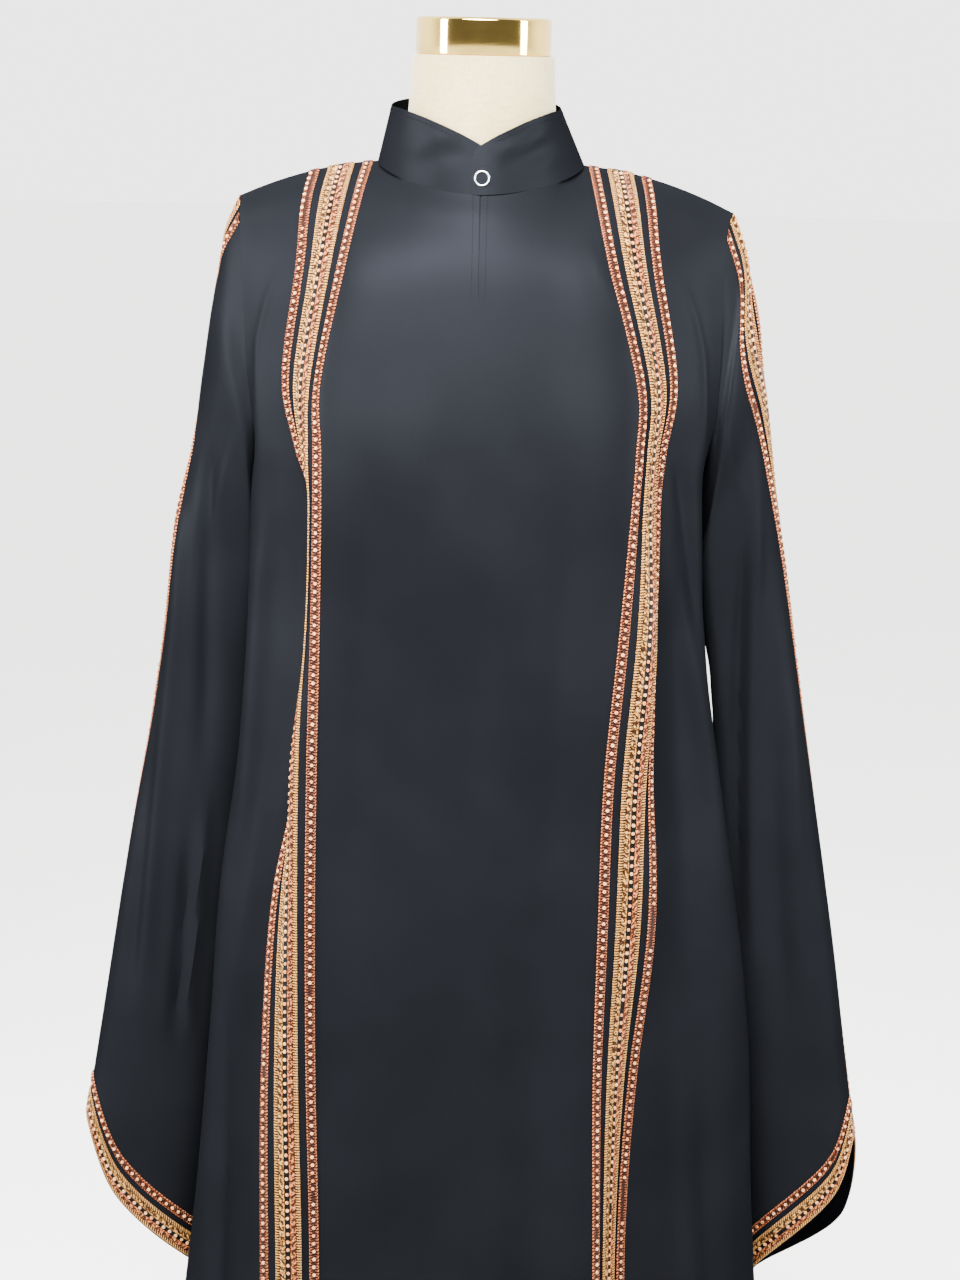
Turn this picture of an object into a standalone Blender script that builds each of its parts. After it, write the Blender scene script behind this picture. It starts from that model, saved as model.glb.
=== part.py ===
"""An abaya worn on a dress form.

Metres, +Z up. The origin is the centre of the base's flat underside, the front looks along -Y, and +X is
the right-hand side as one faces the garment. The section tables are in millimetres.

Every panel is a wall drawn through section tables: a row of a table is a height, and a column is a line that
runs down the cloth, such as the crest of a fold or a seam. Smooth curves join the rows and the columns.
"""

from collections import namedtuple

import bmesh
import bpy
import numpy as np

# Cloth and seams, in metres
WALL = 0.0015
SEAM_GAP = 0.0003
BRAID_THICK = 0.0010

# Neck, shoulders and armholes, in millimetres
NECK_FRONT = (0.0, -74.0, 1400.0)
NECK_FRONT_CORNER = (54.0, -50.0, 1408.0)
NECK_SIDE = (80.0, 0.0, 1421.0)
NECK_BACK_CORNER = (54.0, 44.0, 1426.0)
NECK_BACK = (0.0, 64.0, 1430.0)
SHOULDER_SLOPE = 0.08
SHOULDER_DROOP = 0.0018
MIDDLE_OUT, MIDDLE_DEPTH = 0.52, 0.28
SLIT_HALF = 0.3
SLIT_END_Z = 1322.0
PLACKET = 10.0

# Braids, in millimetres: how far each line lies from the front trio's inner edge, with the lines at each
# braid's edges, then from the middle of the sleeve's trio, then from the cuff's hem
FRONT_TRIO = (0.0, 3.5, 7.5, 11.5, 18.0, 25.0, 32.0, 39.0, 45.5, 49.5, 53.5)
FRONT_BRAIDS = {"inner": (1, 3), "wide": (4, 7), "outer": (8, 10)}
ARM_TRIO = (0.0, 5.25, 10.5, 17.5, 21.5, 25.5)
CUFF_BANDS = (38.0, 36.5, 28.5, 22.5, 12.0, 1.2, 0.0)

# The sleeve's cap: the armhole's heights between which it fills out, how far down to the first ring it is
# fullest, by how much, how far the trio leans to the front there, and how deep its first row is
CAP_HEIGHTS = (1270.0, 1350.0)
CAP_SHARE = 0.30
CAP_OUT = {"left": 5.0, "right": 7.0}
CAP_LEAN = {"left": -8.0, "right": 28.0}
CAP_DEPTH = 24.0

# How many cells each stretch is divided into
CENTRE_CELLS = 5
FLANK_CELLS = 7
ARMHOLE_CELLS = 8
SKIRT_CELLS = (1, 2, 2, 2, 2, 2, 1, 1)
BACK_SHOULDER_CELLS = 3
BACK_NECK_CELLS = 4
FORM_SHOULDER_CELLS, FORM_NECK_CELLS = 5, 10
SLEEVE_CELLS = (1, 2, 2, 2, 2, 2)
COLLAR_CELLS = 3
SAMPLES = 16
SLEEVE_SAMPLES = 12
SLEEVE_EVENNESS = 1.15

# Section tables
FrontRow = namedtuple("FrontRow", "z rise centre inner crest trim ridge edge seam")
BackRow = namedtuple("BackRow", "z rise seam flank hollow pleat blade spine centre")
SleeveRow = namedtuple("SleeveRow", "lean over front fore under hind back")

# The two front tables: z, how much of the neckline's rise the row keeps, the depth at the centre front, then
# (out from the centre, depth) of the line by the trio's inner edge, the fold's crest, the line by its outer
# edge, the ridge beside it, the edge that shows over the sleeve, and the side seam or armhole
FRONT_LEFT = (
    FrontRow(1380, 0.7, -86, (87, -45), (101, -39), (131, -31), (152, -24), (170, -19), (186, -14)),
    FrontRow(1340, 0.35, -103, (97, -86), (109, -78), (135, -57), (154, -44), (170, -34), (183, -26)),
    FrontRow(1260, 0.08, -122, (114, -109), (124, -97), (146, -70), (158, -60), (168, -52), (177, -42)),
    FrontRow(1210, 0.0, -131, (112, -120), (125, -110), (137, -77), (153, -66), (167, -56), (171, -38)),
    FrontRow(1160, 0.0, -133, (111, -125), (123, -117), (122, -82), (148, -66), (172, -47), (166, 0)),
    FrontRow(1060, 0.0, -132, (111, -127), (125, -119), (119, -85), (148, -62), (174, -44), (158, 6)),
    FrontRow(960, 0.0, -133, (112, -130), (134, -122), (131, -88), (156, -64), (181, -44), (160, 8)),
    FrontRow(850, 0.0, -137, (112, -134), (131, -130), (148, -106), (171, -66), (196, -42), (172, 12)),
    FrontRow(720, 0.0, -145, (110, -141), (127, -138), (154, -120), (182, -74), (205, -42), (182, 16)),
    FrontRow(580, 0.0, -155, (105, -151), (122, -149), (154, -136), (190, -86), (216, -44), (192, 18)),
    FrontRow(400, 0.0, -168, (101, -165), (118, -164), (151, -152), (203, -98), (236, -46), (214, 18)),
    FrontRow(200, 0.0, -183, (97, -181), (113, -180), (146, -169), (215, -112), (262, -46), (244, 16)),
    FrontRow(30, 0.0, -196, (93, -194), (109, -193), (142, -184), (225, -124), (286, -46), (270, 14)),
)
FRONT_RIGHT = (
    FrontRow(1380, 0.7, -86, (85, -46), (117, -36), (132, -31), (155, -24), (175, -19), (192, -14)),
    FrontRow(1340, 0.35, -103, (95, -87), (123, -69), (141, -57), (160, -44), (176, -34), (190, -24)),
    FrontRow(1260, 0.08, -122, (118, -107), (141, -82), (151, -70), (165, -61), (178, -53), (188, -42)),
    FrontRow(1210, 0.0, -131, (118, -119), (137, -93), (143, -79), (160, -66), (175, -57), (184, -38)),
    FrontRow(1160, 0.0, -133, (115, -125), (136, -99), (140, -85), (158, -68), (177, -51), (174, 0)),
    FrontRow(1060, 0.0, -132, (108, -129), (140, -117), (141, -102), (158, -68), (184, -45), (170, 6)),
    FrontRow(960, 0.0, -133, (101, -131), (134, -122), (141, -109), (162, -70), (195, -42), (174, 8)),
    FrontRow(850, 0.0, -137, (100, -135), (131, -125), (144, -119), (171, -84), (217, -42), (190, 12)),
    FrontRow(720, 0.0, -145, (100, -142), (125, -120), (135, -109), (173, -98), (234, -44), (208, 16)),
    FrontRow(580, 0.0, -155, (104, -152), (123, -124), (131, -111), (185, -104), (242, -46), (218, 18)),
    FrontRow(400, 0.0, -168, (108, -165), (127, -138), (136, -125), (196, -117), (258, -46), (236, 18)),
    FrontRow(200, 0.0, -183, (112, -181), (131, -154), (141, -141), (208, -131), (276, -46), (258, 16)),
    FrontRow(30, 0.0, -196, (115, -194), (135, -167), (145, -154), (218, -143), (292, -46), (276, 14)),
)

# The back: side seam or armhole, flank, hollow, pleat, shoulder blade, beside the spine, centre back
BACK = (
    BackRow(1380, 0.7, (185, 14), (164, 26), (140, 36), (112, 46), (85, 54), (46, 72), 79),
    BackRow(1340, 0.35, (181, 27), (161, 44), (138, 58), (112, 69), (85, 78), (44, 90), 94),
    BackRow(1260, 0.08, (174, 43), (158, 62), (136, 79), (110, 91), (83, 99), (42, 107), 110),
    BackRow(1210, 0.0, (170, 38), (158, 64), (136, 84), (110, 98), (82, 105), (41, 111), 113),
    BackRow(1160, 0.0, (170, 0), (164, 48), (138, 80), (112, 102), (81, 105), (40, 113), 113),
    BackRow(1060, 0.0, (164, 6), (162, 54), (134, 80), (112, 108), (80, 104), (40, 115), 112),
    BackRow(960, 0.0, (166, 8), (166, 56), (138, 82), (114, 114), (80, 105), (40, 118), 112),
    BackRow(850, 0.0, (180, 12), (176, 60), (146, 86), (120, 124), (82, 109), (42, 124), 115),
    BackRow(720, 0.0, (194, 16), (186, 62), (156, 90), (128, 136), (86, 115), (44, 134), 122),
    BackRow(580, 0.0, (204, 18), (198, 66), (168, 97), (138, 150), (90, 124), (46, 146), 131),
    BackRow(400, 0.0, (224, 18), (222, 76), (184, 108), (148, 166), (96, 136), (50, 160), 143),
    BackRow(200, 0.0, (250, 16), (252, 88), (204, 120), (160, 184), (104, 150), (54, 177), 158),
    BackRow(30, 0.0, (272, 14), (280, 98), (222, 130), (170, 200), (110, 162), (58, 191), 171),
)

# The sleeves below the armhole, each row one ring: how far the trio leans to the front, then (out, depth,
# height) of the overarm, the front, the fore edge by the body, the underarm, the hind edge and the back
SLEEVE_LEFT = (
    SleeveRow(
        -28, (204, 4, 1330), (198, -27, 1290), (178, -42, 1208),
        (171, 2, 1134), (180, 50, 1208), (196, 36, 1290),
    ),
    SleeveRow(
        -40, (216, 7, 1252), (207, -22, 1212), (175, -24, 1136),
        (168, 12, 1076), (182, 70, 1140), (210, 46, 1212),
    ),
    SleeveRow(
        -14, (235, 10, 1135), (219, -14, 1100), (173, -6, 1045),
        (167, 24, 1000), (182, 92, 1045), (228, 60, 1100),
    ),
    SleeveRow(
        -34, (256, 14, 978), (236, -8, 946), (188, -2, 900),
        (182, 34, 866), (194, 108, 900), (246, 68, 944),
    ),
    SleeveRow(
        -42, (284, 16, 810), (260, -7, 772), (203, -1, 722),
        (196, 42, 694), (208, 118, 722), (272, 74, 770),
    ),
    SleeveRow(
        -42, (312, 16, 628), (288, -6, 566), (223, 0, 505),
        (213, 46, 488), (224, 120, 505), (292, 78, 572),
    ),
)
SLEEVE_RIGHT = (
    SleeveRow(
        24, (216, -3, 1322), (203, -33, 1282), (190, -43, 1206),
        (181, 2, 1134), (190, 50, 1206), (208, 30, 1286),
    ),
    SleeveRow(
        8, (229, 0, 1242), (218, -24, 1204), (186, -28, 1136),
        (186, 12, 1076), (199, 70, 1138), (222, 40, 1204),
    ),
    SleeveRow(
        -17, (247, 5, 1128), (232, -15, 1096), (198, -8, 1040),
        (202, 26, 996), (211, 92, 1040), (238, 54, 1096),
    ),
    SleeveRow(
        -34, (273, 10, 970), (254, -8, 938), (203, 0, 896),
        (205, 36, 862), (215, 108, 894), (262, 64, 936),
    ),
    SleeveRow(
        -42, (303, 14, 802), (282, -7, 764), (226, 0, 718),
        (218, 42, 690), (226, 116, 712), (290, 72, 760),
    ),
    SleeveRow(
        -42, (331, 16, 620), (315, -5, 577), (252, 0, 510),
        (240, 48, 466), (264, 108, 462), (330, 60, 532),
    ),
)

# The collar's top edge: (out, depth, height) from the centre front round to the centre back
COLLAR_TOP = (
    (0, -66, 1437), (10, -65, 1443), (22, -62, 1449), (38, -54, 1456),
    (52, -40, 1461), (62, -6, 1464), (52, 34, 1468), (30, 50, 1470), (0, 56, 1471),
)
# How much wider each side of the collar stands, then its lap: how far its ends part, how steeply its base
# leaves the neckline, how far out its upper end reaches at each height from the base, and how far short its
# under end stops
COLLAR_WIDER = {"left": 1.13, "right": 0.98}
COLLAR_STEP = 1.15
COLLAR_RISE = 1.7
COLLAR_OVER_END = (-6.0, -8.0, -7.0, -3.5)
COLLAR_END_DROP = 0.25
COLLAR_UNDER_END = 8.0
SNAP_PLACE = (1.0, 1412.5)
SNAP_RADIUS, SNAP_WIRE, SNAP_SIDES = 5.4, 0.6, 20

# The dress form and its stand, in millimetres: its clearance under the cloth, the ellipses of its neck (half
# width, half depth in front and behind, height), those of its torso (height first), and the turned profiles
FORM_GAP, FORM_EASE, FORM_WELD = 1.1, 0.25, 0.0006
FORM_NECK_EASE, FORM_NECK_OUT = 2.5, (95.0, 118.0)
FORM_ARM_INSET = 4.0
FORM_LOWEST_REST = 1262.0
NECK_ROUND = ((64.0, 60.0, 56.0, 1425.0), (58.0, 57.0, 52.0, 1452.0), (54.5, 54.5, 50.0, 1502.5))
FORM_RINGS = (
    (1205, 154, 116, 96), (1120, 136, 98, 86), (1030, 120, 86, 78),
    (940, 142, 94, 92), (860, 156, 98, 100), (800, 152, 96, 98),
)
CAP_PROFILE = ((51.4, 1502.8), (52.2, 1503.6), (52.2, 1529.4), (50.6, 1531.0))
POLE_PROFILE = ((16.0, 60.3), (16.0, 799.7))
BASE_PROFILE = (
    (163.0, 0.0), (165.0, 2.0), (165.0, 6.0), (162.0, 8.0), (30.0, 15.0), (22.0, 20.0), (22.0, 60.0),
)
ROUND_SIDES = 36

# Colours and finishes: base colour, roughness, metallic
FINISHES = {
    "cloth": ((0.012, 0.013, 0.016, 1.0), 0.6, 0.0),
    "wide braid": ((0.72, 0.46, 0.30, 1.0), 0.5, 0.0),
    "narrow braid": ((0.42, 0.19, 0.11, 1.0), 0.5, 0.0),
    "linen": ((0.76, 0.70, 0.60, 1.0), 0.9, 0.0),
    "gold": ((0.83, 0.62, 0.26, 1.0), 0.15, 1.0),
    "silver": ((0.80, 0.80, 0.80, 1.0), 0.25, 1.0),
    "steel": ((0.62, 0.62, 0.62, 1.0), 0.3, 1.0),
}


def clear_scene():
    for item in list(bpy.data.objects):
        bpy.data.objects.remove(item, do_unlink=True)


def finish(name):
    found = bpy.data.materials.get(name)
    if found:
        return found
    colour, roughness, metallic = FINISHES[name]
    material = bpy.data.materials.new(name)
    material.use_nodes = True
    shader = material.node_tree.nodes["Principled BSDF"]
    shader.inputs["Base Color"].default_value = colour
    shader.inputs["Roughness"].default_value = roughness
    shader.inputs["Metallic"].default_value = metallic
    return material


def add_object(name, points, faces, surface):
    mesh = bpy.data.meshes.new(name)
    mesh.from_pydata([tuple(p) for p in points], [], faces)
    mesh.validate()
    mesh.shade_smooth()
    mesh.materials.append(finish(surface))
    piece = bpy.data.objects.new(name, mesh)
    bpy.context.scene.collection.objects.link(piece)
    return piece


# Curves and grids
def smooth_curve(knots, values, at):
    """A curve with continuous slope through the values, read at the places given."""
    knots, values, at = np.asarray(knots, float), np.asarray(values, float), np.asarray(at, float)
    slopes = np.gradient(values, knots, axis=0)
    span = np.clip(np.searchsorted(knots, at, side="right") - 1, 0, len(knots) - 2)
    width = (knots[span + 1] - knots[span])[:, None]
    t = ((at - knots[span])[:, None]) / width
    low, high = values[span], values[span + 1]
    return (
        (1 + 2 * t) * (1 - t) ** 2 * low
        + t * (1 - t) ** 2 * width * slopes[span]
        + t**2 * (3 - 2 * t) * high
        - t**2 * (1 - t) * width * slopes[span + 1]
    )


def lengths(points):
    """The distance along a line of points, from its start to each of them."""
    steps = np.linalg.norm(np.diff(points, axis=0), axis=1)
    return np.concatenate([[0.0], np.cumsum(steps)])


def at_distance(points, distance):
    """The points of a line that lie at the distances given along it."""
    along = lengths(points)
    return np.stack([np.interp(distance, along, points[:, axis]) for axis in range(3)], axis=1)


def through(points, before=None, after=None):
    """A fine smooth line through the points. The neighbours before and after only steer its ends."""
    lead = [] if before is None else [before]
    tail = [] if after is None else [after]
    path = np.array([*lead, *points, *tail], float)
    knots = np.sqrt(np.linalg.norm(np.diff(path, axis=0), axis=1))
    knots = np.concatenate([[0.0], np.cumsum(np.maximum(knots, 1e-6))])
    inner = knots[len(lead) : len(lead) + len(points)]
    places = [np.linspace(a, b, SAMPLES, endpoint=False) for a, b in zip(inner[:-1], inner[1:])]
    return smooth_curve(knots, path, np.concatenate([*places, inner[-1:]]))


def cell_normals(grid, ring=False):
    """A unit normal at each point of a grid, from the cells that meet there."""
    rows, columns, _ = grid.shape
    closed = np.concatenate([grid, grid[:, :1]], axis=1) if ring else grid
    diagonal_a = closed[1:, 1:] - closed[:-1, :-1]
    diagonal_b = closed[:-1, 1:] - closed[1:, :-1]
    cells = np.cross(diagonal_a, diagonal_b)
    total = np.zeros_like(closed)
    for i in (0, 1):
        for j in (0, 1):
            total[i : i + rows - 1, j : j + cells.shape[1]] += cells
    if ring:
        total[:, 0] += total[:, -1]
        total = total[:, :columns]
    return unit(total)


def unit(vectors):
    return vectors / np.maximum(np.linalg.norm(vectors, axis=-1, keepdims=True), 1e-9)


def shell(name, outer, inner, surface, ring=False, keep=None):
    """A closed wall between two grids of points, with rims where its cells end."""
    rows, columns, _ = outer.shape
    cells_across = columns if ring else columns - 1
    kept = np.ones((rows - 1, cells_across), bool) if keep is None else keep
    points = np.concatenate([outer.reshape(-1, 3), inner.reshape(-1, 3)])
    half = rows * columns
    faces = []

    def number(i, j):
        return i * columns + j % columns

    def is_kept(i, j):
        if ring:
            j %= columns
        return 0 <= i < rows - 1 and 0 <= j < cells_across and kept[i, j]

    for i in range(rows - 1):
        for j in range(cells_across):
            if not kept[i, j]:
                continue
            a, b, c, d = number(i, j), number(i + 1, j), number(i + 1, j + 1), number(i, j + 1)
            faces += [(a, b, c), (a, c, d)]
            faces += [(half + c, half + b, half + a), (half + d, half + c, half + a)]
            sides = (((i, j - 1), a, b), ((i + 1, j), b, c), ((i, j + 1), c, d), ((i - 1, j), d, a))
            for (row, column), start, end in sides:
                if not is_kept(row, column):
                    faces.append((end, start, half + start, half + end))
    used = sorted({corner for face in faces for corner in face})
    order = {corner: place for place, corner in enumerate(used)}
    faces = [tuple(order[corner] for corner in face) for face in faces]
    return add_object(name, points[used] / 1000.0, faces, surface)


# Body panels
def shoulder_point(out):
    """A point of the shoulder seam, out from the centre."""
    along = out - NECK_SIDE[0]
    return (out, 0.0, NECK_SIDE[2] - SHOULDER_SLOPE * along - SHOULDER_DROOP * along**2)


def down_the_lines(top, rows, levels):
    """The lines of a table as smooth curves: their points at levels, counted in table rows from the top."""
    table = np.array([top, *rows], float)
    return smooth_curve(np.arange(len(table)), table.reshape(len(table), -1), levels).reshape(
        len(levels), -1, 3
    )


def table_points(table, top):
    """The table's rows as points. Near the top each keeps part of the neckline's and shoulder's rise."""
    rows = []
    for row in table:
        heights = [row.z + row.rise * (p[2] - NECK_FRONT[2]) for p in top]
        if isinstance(row, FrontRow):
            middle = (MIDDLE_OUT * row.inner[0], row.centre + MIDDLE_DEPTH * (row.inner[1] - row.centre))
            places = [(0.0, row.centre), middle, *row[3:]]
        else:
            places = [*row[2:-1], (0.0, row.centre)]
        rows.append([(x, y, z) for (x, y), z in zip(places, heights)])
    return rows


def mirrored(points):
    return np.asarray(points, float) * (-1.0, 1.0, 1.0)


# How far out each line of the tables meets the shoulder seam
FRONT_TOP_OUT = {"left": (96, 128, 150, 171, 186), "right": (114, 129, 152, 176, 197)}
BACK_TOP_OUT = {"left": (186, 163, 138, 110), "right": (197, 168, 139, 110)}
BACK_SHIFTS = (1.0, 0.8, 0.5, 0.2)
ARMPIT_LEVEL = 5


def front_lines(side, levels):
    table = FRONT_LEFT if side == "left" else FRONT_RIGHT
    top = [NECK_FRONT, NECK_FRONT_CORNER, NECK_SIDE, *map(shoulder_point, FRONT_TOP_OUT[side])]
    return down_the_lines(top, table_points(table, top), levels)


def back_lines(side, levels):
    """The back's lines from the seam to the centre, with the seam on the front's own seam below the arm."""
    top = [*map(shoulder_point, BACK_TOP_OUT[side]), NECK_SIDE, NECK_BACK_CORNER, NECK_BACK]
    rows = np.array(table_points(BACK, top), float)
    seam = np.array([row.seam for row in (FRONT_LEFT if side == "left" else FRONT_RIGHT)], float)
    shift = seam[:, 0] - rows[:, 0, 0]
    for line, share in enumerate(BACK_SHIFTS):
        rows[:, line, 0] += share * shift
    return down_the_lines(top, rows, levels)


def armhole_levels(lines_of, side, seam_line):
    """The levels at which the armhole's edge has the sleeve's spacing, from the shoulder to the armpit."""
    fine = np.linspace(0, ARMPIT_LEVEL, 200)
    edge = lines_of(side, fine)[:, seam_line]
    along = lengths(edge)
    rest = np.linspace(ARM_TRIO[-1], along[-1], ARMHOLE_CELLS + 1)[1:]
    return np.interp([*ARM_TRIO, *rest], along, fine)


def skirt_levels():
    levels = []
    for start, cells in enumerate(SKIRT_CELLS, ARMPIT_LEVEL):
        levels += list(start + np.arange(1, cells + 1) / cells)
    return levels


def body_levels(lines_of, side, seam_line):
    return np.concatenate([armhole_levels(lines_of, side, seam_line), skirt_levels()])


def half_front(side):
    """One half of the front, from the centre out to the seam, in rows of points."""
    levels = body_levels(front_lines, side, -1)
    lines = front_lines(side, levels)
    neighbours = back_lines(side, levels)[:, 1]
    rows = []
    for level, points, beyond in zip(levels, lines, neighbours):
        steer = beyond if level > ARMPIT_LEVEL - 0.01 else None
        if level > 0:
            line = through(points, before=mirrored(points[1]), after=steer)
        else:
            neck = through(points[:3], before=mirrored(points[1]), after=NECK_BACK_CORNER)
            line = np.concatenate([neck, through(points[2:])[1:]])
        along = lengths(line)
        inner = along[2 * SAMPLES]
        centre = np.linspace(PLACKET, inner, CENTRE_CELLS)[:-1]
        flank = np.linspace(inner + FRONT_TRIO[-1], along[-1], FLANK_CELLS + 1)[1:]
        trio = inner + np.array(FRONT_TRIO)
        rows.append(at_distance(line, [SLIT_HALF, *centre, *trio, *flank]))
    return np.array(rows)


def half_back(side):
    """One half of the back, from the seam in to the centre, in rows of points."""
    levels = body_levels(back_lines, side, 0)
    lines = back_lines(side, levels)
    neighbours = front_lines(side, levels)[:, -2]
    rows = []
    for level, points, beyond in zip(levels, lines, neighbours):
        steer = beyond if level > ARMPIT_LEVEL - 0.01 else None
        if level > 0:
            line = through(points, before=steer, after=mirrored(points[-2]))
        else:
            neck = through(points[4:], before=NECK_FRONT_CORNER, after=mirrored(points[-2]))
            line = np.concatenate([through(points[:5]), neck[1:]])
        along = lengths(line)
        neck = along[4 * SAMPLES]
        outer = np.linspace(0.0, neck, 2 * BACK_SHOULDER_CELLS + 1)[:-1]
        centre = np.linspace(neck, along[-1], BACK_NECK_CELLS + 1)
        rows.append(at_distance(line, [*outer, *centre]))
    return np.array(rows)


def blended(normals_a, normals_b):
    """Two walls' normals along a shared seam, averaged where the walls run on into each other."""
    turned_together = np.sum(normals_a * normals_b, axis=-1, keepdims=True)
    facing = np.clip((turned_together + 0.3) / 0.5, 0.0, 1.0)
    return unit(normals_a + facing * normals_b), unit(normals_b + facing * normals_a), facing


class Panel:
    """A grid of points with a normal at each. Rows run down, and columns to one side."""

    def __init__(self, points, ring=False):
        self.points = points
        self.normals = cell_normals(points, ring)
        self.ring = ring

    def out(self, distance):
        return self.points + self.normals * distance

    def wall(self, name, keep=None):
        inner = self.out(-WALL * 1000.0)
        return shell(name, self.points, inner, "cloth", self.ring, keep)

    def strip(self, name, rows, columns, surface):
        """A braid on the panel, made from its points moved out."""
        low = self.out(SEAM_GAP * 1000.0)[rows][:, columns]
        high = self.out((SEAM_GAP + BRAID_THICK) * 1000.0)[rows][:, columns]
        closed = self.ring and len(columns) == self.points.shape[1]
        return shell(name, high, low, surface, closed)


ARMPIT_ROW = len(ARM_TRIO) - 1 + ARMHOLE_CELLS
HALF_COLUMNS = 1 + CENTRE_CELLS - 1 + len(FRONT_TRIO) + FLANK_CELLS
NECK_COLUMN = CENTRE_CELLS


def body_panels():
    left, right = half_front("left"), half_front("right")
    front = Panel(np.concatenate([mirrored(left)[:, ::-1], right], axis=1))
    left, right = half_back("left"), half_back("right")
    back = Panel(np.concatenate([right, mirrored(left)[:, ::-1][:, 1:]], axis=1))
    for row in range(ARMPIT_ROW, len(front.points)):
        for own, other in ((-1, 0), (0, -1)):
            shared = unit(front.normals[row, own] + back.normals[row, other])
            front.normals[row, own] = back.normals[row, other] = shared
    shoulder = np.abs(front.points[0, :, 0]) >= NECK_SIDE[0] - 0.1
    front.normals[0, shoulder, 1] = 0.0
    shoulder = np.abs(back.points[0, :, 0]) >= NECK_SIDE[0] - 0.1
    back.normals[0, shoulder, 1] = 0.0
    front.normals[0], back.normals[0] = unit(front.normals[0]), unit(back.normals[0])
    return front, back


def armhole(front, back, side):
    """The armhole: its points, the way out of the cloth and the normals, from the shoulder to the front."""
    edge, inside = (0, 1) if side == "left" else (-1, -2)
    back_edge, back_inside = (-1, -2) if side == "left" else (0, 1)
    rows = np.arange(ARMPIT_ROW + 1)
    points = [front.points[rows, edge], back.points[rows[-2:0:-1], back_edge]]
    ways = [
        unit(front.points[rows, edge] - front.points[rows, inside]),
        unit(back.points[rows[-2:0:-1], back_edge] - back.points[rows[-2:0:-1], back_inside]),
    ]
    normals = [front.normals[rows, edge], back.normals[rows[-2:0:-1], back_edge]]
    return np.concatenate(points), np.concatenate(ways), np.concatenate(normals)


def sleeve_ring(row, side):
    """One ring of a sleeve's table, divided as the armhole is, from the overarm to the front and round."""
    stations = [row.over, row.front, row.fore, row.under, row.hind, row.back]
    line = through([*stations, stations[0]], before=stations[-1], after=stations[1])
    along = lengths(line)
    total, under = along[-1], along[3 * SAMPLES]
    trio = np.array(ARM_TRIO)
    fore = np.linspace(row.lean + trio[-1], under, ARMHOLE_CELLS + 1)[1:]
    hind = np.linspace(under, total + row.lean - trio[-1], ARMHOLE_CELLS + 1)[1:]
    places = np.concatenate([row.lean + trio, fore, hind, total + row.lean - trio[-2:0:-1]])
    points = at_distance(line, places % total)
    return mirrored(points) if side == "left" else points


def sleeve_panel(front, back, side):
    table = SLEEVE_LEFT if side == "left" else SLEEVE_RIGHT
    edge, ways, body_normals = armhole(front, back, side)
    rings = [sleeve_ring(row, side) for row in table]
    high = np.clip((edge[:, 2:] - CAP_HEIGHTS[0]) / (CAP_HEIGHTS[1] - CAP_HEIGHTS[0]), 0.0, 1.0)
    below = sleeve_ring(table[0]._replace(lean=CAP_LEAN[side]), side)
    cap = edge + CAP_SHARE * (below - edge) + CAP_OUT[side] * high * ways
    rings = np.array([edge, cap, *rings])
    knots = np.concatenate([[0.0], np.cumsum(np.linalg.norm(np.diff(rings, axis=0), axis=2).mean(axis=1))])
    fine = np.linspace(0.0, knots[-1], SLEEVE_SAMPLES * len(rings))
    flat = smooth_curve(knots, rings.reshape(len(rings), -1), fine).reshape(len(fine), -1, 3)
    cells = sum(SLEEVE_CELLS) - 1
    columns = []
    for line in flat.transpose(1, 0, 2):
        total = lengths(line)[-1]
        stretch = total - CUFF_BANDS[0] - CAP_DEPTH
        upper = CAP_DEPTH + stretch * (np.linspace(0.0, 1.0, cells + 1)[:-1] ** SLEEVE_EVENNESS)
        columns.append(at_distance(line, [0.0, *upper, *(total - np.array(CUFF_BANDS))]))
    grid = np.array(columns).transpose(1, 0, 2)
    sleeve = Panel(round_the_right_way(grid, side), ring=True)
    ways = round_the_right_way(ways[None], side)[0]
    body_normals = round_the_right_way(body_normals[None], side)[0]
    new_body, new_sleeve, facing = blended(body_normals, sleeve.normals[0])
    sleeve.normals[0] = new_sleeve
    way_out = unit(facing * ways + (1.0 - facing) * body_normals)
    sleeve.points[0] += way_out * SEAM_GAP * 1000.0
    give_to_armhole(front, back, side, round_the_right_way(new_body[None], side)[0])
    return sleeve


def round_the_right_way(grid, side):
    """Keeps the first column and turns the right sleeve's order round, so that both have the same hand."""
    if side == "left":
        return grid
    return np.concatenate([grid[:, :1], grid[:, :0:-1]], axis=1)


def give_to_armhole(front, back, side, normals):
    edge = 0 if side == "left" else -1
    rows = np.arange(ARMPIT_ROW + 1)
    front.normals[rows, edge] = normals[: ARMPIT_ROW + 1]
    back_edge = -1 - edge
    back.normals[rows[-2:0:-1], back_edge] = normals[ARMPIT_ROW + 1 :]
    back.normals[0, back_edge] = normals[0]
    back.normals[ARMPIT_ROW, back_edge] = normals[ARMPIT_ROW]


def seamed(panel, edges):
    """The panel with its side seams and shoulder seams drawn back by half of the gap."""
    moved = panel.points.copy()
    half = SEAM_GAP * 1000.0 / 2
    rows = np.arange(ARMPIT_ROW, len(moved))
    for edge, inside in ((0, 1), (-1, -2)):
        moved[rows, edge] += unit(moved[rows, inside] - moved[rows, edge]) * half
    moved[0, edges] += unit(moved[1, edges] - moved[0, edges]) * half
    panel.points = moved


# Collar
def neckline(front, back):
    """The neckline from the centre front round the left side to the centre front again."""
    columns = HALF_COLUMNS
    left = np.arange(columns - 1, columns - 2 - NECK_COLUMN, -1)
    right = np.arange(columns + NECK_COLUMN, columns - 1, -1)
    middle = (back.points.shape[1] - 1) // 2
    behind = np.arange(middle + BACK_NECK_CELLS - 1, middle - BACK_NECK_CELLS, -1)
    parts = ((front, left), (back, behind), (front, right))
    edge = np.concatenate([panel.points[0, chosen] for panel, chosen in parts])
    normals = np.concatenate([panel.normals[0, chosen] for panel, chosen in parts])
    ways = unit(-edge * (1.0, 1.0, 0.0))
    ways[:, 2] = COLLAR_RISE
    return edge, unit(ways), normals, parts


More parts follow.
